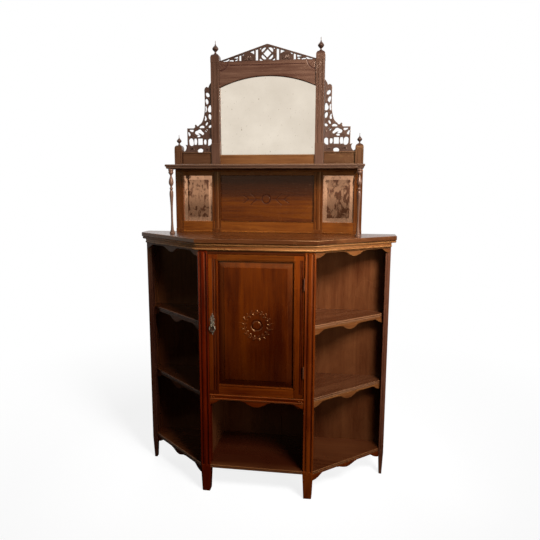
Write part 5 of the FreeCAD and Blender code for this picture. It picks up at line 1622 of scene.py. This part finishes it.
class CHIFFONIER_OT_upper_rails(Step):
    """Makes the mirror's rails and the panelled side rails"""
    bl_idname = "chiffonier.upper_rails"
    bl_label = "Upper rails"

    def execute(self, context):
        finish = finishes(context)
        depth = context.scene.chiffonier_sizes.line_depth / MM
        bench = Bench(221)
        bench.board(*reach("mirror_rail"), 0.9)
        for front, back, low, high, rounding in (
                (RAIL_Y - 2.5, RAIL_Y + 2, SHELF_TOP, SHELF_TOP + 7, 2.2),
                (RAIL_Y + 2, RAIL_Y + 10, MIRROR_FOOT - 4, MIRROR_FOOT + 3, 2)):
            bench.board((-MIRROR_HALF, front, low), (MIRROR_HALF, back, high), rounding, 3)
        bench.hand_over("mirror_rail_board", finish["rail_gold"], UPPER, "mirror_rail")
        bench = Bench(225)
        head = reach("side_rails")[1][2]
        bench.board((TALL_OUTER, RAIL_Y + 3, SHELF_TOP), (SHORT_INNER, LINING_Y, head), 0.8)
        bench.strip_frame((TALL_OUTER + 11, SHELF_TOP + 17), (SHORT_INNER - 11, head - 11), 9, 4,
                          upright(0, RAIL_Y + 3.5, 0), 1.4)
        for front, back, low, high, rounding in (
                (RAIL_Y - 2.5, RAIL_Y + 4, SHELF_TOP, SHELF_TOP + 8, 2.2),
                (RAIL_Y - 1.5, LINING_Y, head - 3, head + 3, 2.0)):
            bench.board((TALL_OUTER, front, low), (SHORT_INNER, back, high), rounding, 3)
        bench.both_sides()
        bench.hand_over("side_rail_panels", finish["low_level"], UPPER, "side_rails")

        def surface(x, share_up):
            foot, head = arch_height(x), ARCH_TOP
            z = foot + (head - foot) * share_up
            deep = 0.0
            corner = math.hypot(MIRROR_HALF - abs(x), head - z)
            if abs(x) < 168:
                deep = groove(z - head + 16, 3.4)
            if corner < 46:
                deep = 0.8 * groove(corner - 38, 5.5)
                turn = math.atan2(head - z, MIRROR_HALF - abs(x))
                if 7 < corner < 35:
                    deep = max(deep, 0.7 * groove((turn * 4 / QUARTER % 1 - 0.5) * corner, 4))
            edge = max(0.0, 1 - (z - foot) / 3.0)
            return x, RAIL_Y + 0.45 * depth * deep + 2.5 * edge * edge, z, min(1.0, deep * 2.5)

        bench = Bench(229)
        half, plain_half = MIRROR_HALF, MIRROR_HALF - 50
        columns = (spaced(-half, 0, -half, -plain_half, 1.0, 5)[:-1]
                   + spaced(0, half, plain_half, half, 1.0, 5))
        rows = even(0, 1, 78)
        rim = bench.relief(columns, rows, surface)
        bench.close(bench.carried_back(rim, LINING_Y)[1])
        bench.hand_over("arch_rail_carved", finish["arch_level"], UPPER, "arch_rail", soft=50)
        bench = Bench(233)
        low, high = span("mirror_backing")
        bench.planks(even(low.x, high.x, 3), LINING_Y, low.z, high.z)
        bench.hand_over("mirror_backing_planks", finish["plain_up"], PLAIN, "mirror_backing")
        return {"FINISHED"}


# ---------------------------------------------------------------- pierced work

FRET_OUTLINE = [
    (0, 1486), (139, 1486), (139, 1503), (136.5, 1498, 1), (131.5, 1495, 1), (126.5, 1499, 1),
    (122, 1507, 1), (121.5, 1516, 1), (126, 1525), (116, 1523), (116, 1598), (84, 1598),
    (79, 1604, 1), (79, 1612, 1), (74, 1614, 1), (71, 1610, 1), (66, 1607, 1),
    (58, 1613, 1), (47, 1623, 1), (39.5, 1640, 1), (34.5, 1661, 1), (32, 1683, 1), (32, 1756),
    (32, 1768, 1), (27.5, 1776, 1), (20, 1779, 1), (15, 1776, 1), (10.5, 1784, 1),
    (5.5, 1792, 1), (0, 1799)]
FRET_LIGHTS = [
    [(107, 1549, 1), (101, 1553, 1), (92, 1551, 1), (87, 1538, 1), (88, 1523, 1), (96, 1519, 1),
     (105, 1524, 1), (108, 1537, 1)],
    [(83, 1552), (73, 1552), (70, 1538, 1), (73, 1524), (83, 1524), (85, 1538, 1)],
    [(66, 1552), (44, 1552), (44, 1524), (66, 1524)],
    [(37, 1547), (28, 1548), (26, 1536, 1), (28, 1525), (36, 1526), (39, 1536, 1)],
    [(18, 1547), (10, 1551, 1), (2.5, 1546, 1), (1.5, 1537, 1), (3.5, 1528, 1), (10, 1522, 1),
     (19, 1520), (19, 1534, 1)],
    [(69, 1565), (62, 1567.5, 1), (54, 1563, 1), (62, 1558.5, 1), (69, 1559)],
    [(111, 1582, 1), (105, 1577, 1), (101, 1570, 1), (103, 1564.5, 1), (109, 1563), (111, 1570)],
    [(106, 1592), (87, 1592), (86, 1587, 1), (90, 1582, 1), (98, 1583.5, 1), (103, 1587, 1)],
    [(75, 1571, 1), (80, 1577.5, 1), (78, 1584, 1), (70, 1587.5, 1), (59, 1592.5, 1),
     (52, 1591, 1), (45, 1583, 1), (37.5, 1575, 1), (39, 1570, 1), (57, 1568, 1)],
    [(58, 1601, 1), (53, 1607.5, 1), (44, 1609.5, 1), (36, 1606, 1), (35, 1600.5, 1),
     (46, 1599, 1)],
    [(29, 1611, 1), (28, 1618, 1), (21.5, 1625, 1), (18.5, 1623, 1), (20, 1616, 1),
     (25, 1610, 1)],
    [(15, 1602, 1), (13.5, 1608, 1), (5, 1611.5, 1), (2.5, 1605, 1), (9, 1599, 1)],
    [(12, 1660, 1), (4.5, 1656, 1), (2.5, 1643, 1), (5.5, 1635.5, 1), (11, 1639, 1),
     (15, 1650, 1)],
    [(15, 1671, 1), (18, 1681, 1), (14, 1692, 1), (7, 1699.5, 1), (3, 1692, 1), (2.5, 1670, 1),
     (8, 1667.5, 1)],
    [(31, 1653, 1), (27, 1649, 1), (24, 1637, 1), (29, 1630.5, 1), (33.5, 1633, 1),
     (31.5, 1643, 1)],
    [(24, 1753, 1), (15, 1751.5, 1), (9.5, 1744, 1), (10.5, 1735.5, 1), (19, 1735.5, 1),
     (25, 1743, 1)],
    [(25.5, 1727, 1), (20, 1725, 1), (14.5, 1711, 1), (19, 1701.5, 1), (25.5, 1709, 1)],
    [(68, 1497.5, 1), (63, 1504.5, 1), (48, 1505.5, 1), (42.5, 1499, 1), (47, 1490.5, 1),
     (63, 1489.5, 1)],
    [(26, 1594, 1), (20.5, 1588, 1), (26, 1582, 1), (31.5, 1588, 1)],
    [(27, 1695, 1), (22.5, 1687, 1), (23.5, 1675, 1), (27.5, 1668, 1), (28, 1682, 1)],
]


def leaf_ridge(bench, start, end, wide, rise, y):
    """A carved leaf laid on a fret: a short pointed ridge."""
    (x0, z0), (x1, z1) = start, end
    run = math.hypot(x1 - x0, z1 - z0)
    outline = [(0, 0), (run * 0.3, wide * 0.42, 1), (run * 0.6, wide * 0.5, 1), (run, 0),
               (run * 0.6, -wide * 0.5, 1), (run * 0.3, -wide * 0.42, 1)]
    bench.draw([outline], rise, rise * 0.49, steps=3)
    bmesh.ops.remove_doubles(bench.mesh, verts=bench.loose(), dist=2e-6)
    bench.outward()
    turn = Matrix.Rotation(math.atan2(z1 - z0, x1 - x0), 4, "Z")
    bmesh.ops.transform(bench.mesh, verts=bench.loose(), matrix=upright(x0, y, z0) @ turn)
    bench.wear(bench.loose("faces"), 0.1)
    bench.lay()


class CHIFFONIER_OT_frets(Step):
    """Saws the two pierced brackets"""
    bl_idname = "chiffonier.frets"
    bl_label = "Frets"

    def execute(self, context):
        finish = finishes(context)
        leaves = (((10, 1512), (30, 1501), 9), ((12, 1497), (32, 1508), 8),
                  ((80, 1500), (104, 1512), 9), ((84, 1512), (106, 1498), 8),
                  ((64, 1577), (38, 1560), 7), ((74, 1560), (92, 1572), 9),
                  ((98, 1566), (84, 1556), 7), ((34, 1598), (18, 1580), 7),
                  ((8, 1622), (20, 1636), 6), ((14, 1664), (24, 1652), 5),
                  ((6, 1720), (20, 1734), 6), ((22, 1698), (10, 1708), 5),
                  ((12, 1570), (4, 1588), 7))
        for side, bench in pair(241, 263):
            bench.sawn([FRET_OUTLINE] + FRET_LIGHTS, 8, 1.2, upright(TALL_OUTER, 162, 0), 4)
            for start, end, wide in leaves:
                leaf_ridge(bench, (TALL_OUTER + start[0], start[1]),
                           (TALL_OUTER + end[0], end[1]), wide, 3, 154.2)
            bench.hand_over(f"fret_{side}_pierced", finish["pierced_up"], UPPER, f"fret_{side}",
                            soft=45)
        return {"FINISHED"}


GABLE_OUTLINE = [(-215, 1882), (215, 1882), (215, 1888), (4, 1953.5), (0, 1954, 1), (-4, 1953.5),
                 (-215, 1888)]
GABLE_MIDDLE = 1915
GABLE_LOZENGE = [(-18, 0), (0, -18), (18, 0), (0, 18)]
GABLE_LENS = [(24.5, 4), (25.5, 14, 1), (21, 21, 1), (14, 25.5, 1), (4, 24.5), (10, 16.5, 1),
              (16.5, 10, 1)]
GABLE_LIGHTS = [
    [(33.5, 1884.5), (33.5, 1893, 1), (27, 1890.5, 1), (20.5, 1885.5, 1), (18, 1884.5)],
    [(33.5, 1937.5), (29, 1938.6), (26.5, 1936, 1), (33.5, 1931)],
    [(41.5, 1886), (52, 1886), (52, 1931.5), (41.5, 1934.5)],
    [(59, 1929.5), (59, 1912), (68, 1918, 1), (81, 1922.5)],
    [(117, 1886), (126, 1886), (126, 1908.5), (117, 1911.5)],
    [(101, 1916.5), (111, 1908, 1), (113, 1911), (105, 1916, 1)],
    [(132, 1906.5), (133, 1897, 1), (143, 1897.5, 1), (156, 1898.5), (147, 1902, 1)],
    [(151, 1886.5, 1), (161, 1885.5, 1), (171, 1888, 1), (160, 1892, 1)],
    [(171, 1894, 1), (178, 1886, 1), (190, 1885.2, 1), (199, 1886.2, 1), (187, 1890.5, 1)],
    [(133, 1892, 1), (138, 1886.5, 1), (145, 1887, 1), (143, 1892, 1)],
]


def moved(loop, east, north=1, rise=0):
    """A loop mirrored by the signs east and north, and raised."""
    return [(east * x, rise + north * z, *kind) for x, z, *kind in loop]


def pediment_loops():
    """The gable's outline and openings."""
    loops = [GABLE_OUTLINE, moved(GABLE_LOZENGE, 1, 1, GABLE_MIDDLE)]
    for east in (-1, 1):
        loops += [moved(GABLE_LENS, east, north, GABLE_MIDDLE) for north in (-1, 1)]
        loops += [moved(light, east) for light in GABLE_LIGHTS]
    return loops


class CHIFFONIER_OT_pediment(Step):
    """Saws the pierced gable and carves its two rosettes"""
    bl_idname = "chiffonier.pediment"
    bl_label = "Pediment"

    def execute(self, context):
        finish = finishes(context)
        bench = Bench(281)
        bench.sawn(pediment_loops(), 12, 1.0, upright(0, 166, 0), 4)
        for side in (-1, 1):
            for number in range(7):
                turn = math.radians(12 + number * 26)
                start, end = ((side * 85 + far * math.cos(turn), 1887 + far * math.sin(turn))
                              for far in (3, 23))
                leaf_ridge(bench, start, end, 9, 5, 154.6)
            leaf_ridge(bench, (side * 150, 1893), (side * 168, 1892), 6, 4, 154.6)
        bench.hand_over("pediment_pierced", finish["pierced_level"], UPPER, "pediment", soft=45)
        return {"FINISHED"}


# ---------------------------------------------------------------- stage

class CHIFFONIER_OT_stage(Step):
    """Sets the floor, the lamps, the surroundings and the camera"""
    bl_idname = "chiffonier.stage"
    bl_label = "Stage"

    def execute(self, context):
        stage = context.scene.chiffonier_stage
        self.floor(stage)
        self.world(context.scene, stage)
        self.lamp("key_light", (1.37, -1.67, 2.45), Vector((0.25, 0, 1.45)), 0.8,
                  stage.key_power, 80)
        self.lamp("side_light", (2.6, -2.2, 1.1), Vector((0.4, 0, 0.8)), 1.8,
                  stage.side_power)
        self.lamp("back_light", (-1.3, 2.6, 3.5), Vector((0, 0, 0.95)), 2.0, stage.back_power)
        self.camera(context.scene, stage)
        context.scene.view_settings.view_transform = "Standard"
        return {"FINISHED"}

    def floor(self, stage):
        finish = Finish("pale_floor")
        seen = finish.add("LightPath").outputs["Is Camera Ray"]
        place = finish.place()
        mottle = finish.cloud(finish.scaled(place, (2, 2, 2)), 1.0, 3.0)
        tone = finish.blend(mottle, tinted(stage.floor, 0.99, 0.99, 0.99), tuple(stage.floor))
        tone = finish.blend(seen, tinted(stage.floor, 0.03, 0.025, 0.02), tone)
        lit = finish.add("BsdfDiffuse", {"Color": tone})
        away = finish.add("VectorMath", {0: place}, operation="LENGTH").outputs["Value"]
        far = finish.between(away, 1.1, 2.6)
        glow = finish.add("Emission", {"Strength": finish.between(far, 0, 1, 1.2, 1.0)})
        amount = finish.maths("MULTIPLY", seen, finish.between(far, 0, 1, 0.7, 1.0))
        both = finish.add("MixShader", {0: amount})
        finish.tree.links.new(lit.outputs[0], both.inputs[1])
        finish.tree.links.new(glow.outputs[0], both.inputs[2])
        out = finish.add("OutputMaterial")
        finish.tree.links.new(both.outputs[0], out.inputs["Surface"])
        mesh = bpy.data.meshes.new("floor")
        shape = bmesh.new()
        bmesh.ops.create_grid(shape, x_segments=8, y_segments=8, size=3.3)
        shape.to_mesh(mesh)
        shape.free()
        floor = bpy.data.objects.new("floor", mesh)
        mesh.materials.append(finish.material)
        bpy.context.scene.collection.objects.link(floor)

    def world(self, scene, stage):
        world = bpy.data.worlds.new("surroundings")
        world.use_nodes = True
        tree = world.node_tree
        tree.nodes.clear()
        finish = Finish.__new__(Finish)
        finish.tree = tree
        path = finish.add("LightPath").outputs
        mirrored = finish.maths("MAXIMUM", path["Is Glossy Ray"], path["Is Transmission Ray"])
        rise = finish.add("SeparateXYZ", {0: finish.add("TexCoord").outputs["Generated"]})
        sky = finish.between(rise.outputs["Z"], -0.035, -0.005, stage.low_world, 1.0)
        window = finish.between(rise.outputs["X"], -0.6, -0.9, 0.0, 0.65)
        sky = finish.maths("MAXIMUM", sky, window)
        fill = finish.maths("ADD", finish.maths("MULTIPLY", mirrored, sky), finish.maths(
            "MULTIPLY", finish.maths("SUBTRACT", 1.0, mirrored), stage.fill))
        strength = finish.maths("MAXIMUM", path["Is Camera Ray"], fill)
        glow = finish.add("Background", {"Color": (1, 1, 1, 1), "Strength": strength})
        out = finish.add("OutputWorld")
        tree.links.new(glow.outputs[0], out.inputs["Surface"])
        scene.world = world

    @staticmethod
    def lamp(name, place, aim, size, power, spread=180):
        light = bpy.data.lights.new(name, "AREA")
        light.size = size
        light.energy = power
        light.spread = math.radians(spread)
        lamp = bpy.data.objects.new(name, light)
        lamp.location = place
        lamp.rotation_euler = (aim - Vector(place)).to_track_quat("-Z", "Y").to_euler()
        bpy.context.scene.collection.objects.link(lamp)

    @staticmethod
    def camera(scene, stage):
        yaw, pitch, roll = stage.aim
        forward = Vector((math.sin(yaw) * math.cos(pitch), math.cos(yaw) * math.cos(pitch),
                          math.sin(pitch)))
        right = forward.cross(Vector((0, 0, 1))).normalized()
        up = right.cross(forward)
        right, up = (math.cos(roll) * right + math.sin(roll) * up,
                     math.cos(roll) * up - math.sin(roll) * right)
        data = bpy.data.cameras.new("camera")
        data.sensor_width = 36
        data.lens = stage.lens
        data.clip_start = 0.05
        data.clip_end = 60
        camera = bpy.data.objects.new("camera", data)
        turn = Matrix((right, up, -forward)).transposed()
        camera.matrix_world = Matrix.Translation(stage.camera) @ turn.to_4x4()
        scene.collection.objects.link(camera)
        scene.camera = camera


# ---------------------------------------------------------------- panel and main

STEPS = tuple(Step.__subclasses__())
GROUPS = {"chiffonier_sizes": ChiffonierSizes, "chiffonier_finishes": ChiffonierFinishes,
          "chiffonier_stage": ChiffonierStage}


class CHIFFONIER_PT_steps(bpy.types.Panel):
    """Lists the building steps"""
    bl_idname = "CHIFFONIER_PT_steps"
    bl_label = "Chiffonier"
    bl_space_type = "VIEW_3D"
    bl_region_type = "UI"
    bl_category = "Chiffonier"

    def draw(self, context):
        for step in STEPS:
            self.layout.operator(step.bl_idname)
        for group in GROUPS:
            settings = getattr(context.scene, group)
            box = self.layout.box()
            for name in type(settings).__annotations__:
                box.prop(settings, name)


def register():
    for item in (*GROUPS.values(), *STEPS, CHIFFONIER_PT_steps):
        bpy.utils.register_class(item)
    for name, group in GROUPS.items():
        setattr(bpy.types.Scene, name, bpy.props.PointerProperty(type=group))


def unregister():
    for name in GROUPS:
        delattr(bpy.types.Scene, name)
    for item in reversed((*GROUPS.values(), *STEPS, CHIFFONIER_PT_steps)):
        bpy.utils.unregister_class(item)


def main():
    register()
    for step in STEPS:
        family, name = step.bl_idname.split(".")
        getattr(getattr(bpy.ops, family), name)()


if __name__ == "__main__":
    main()
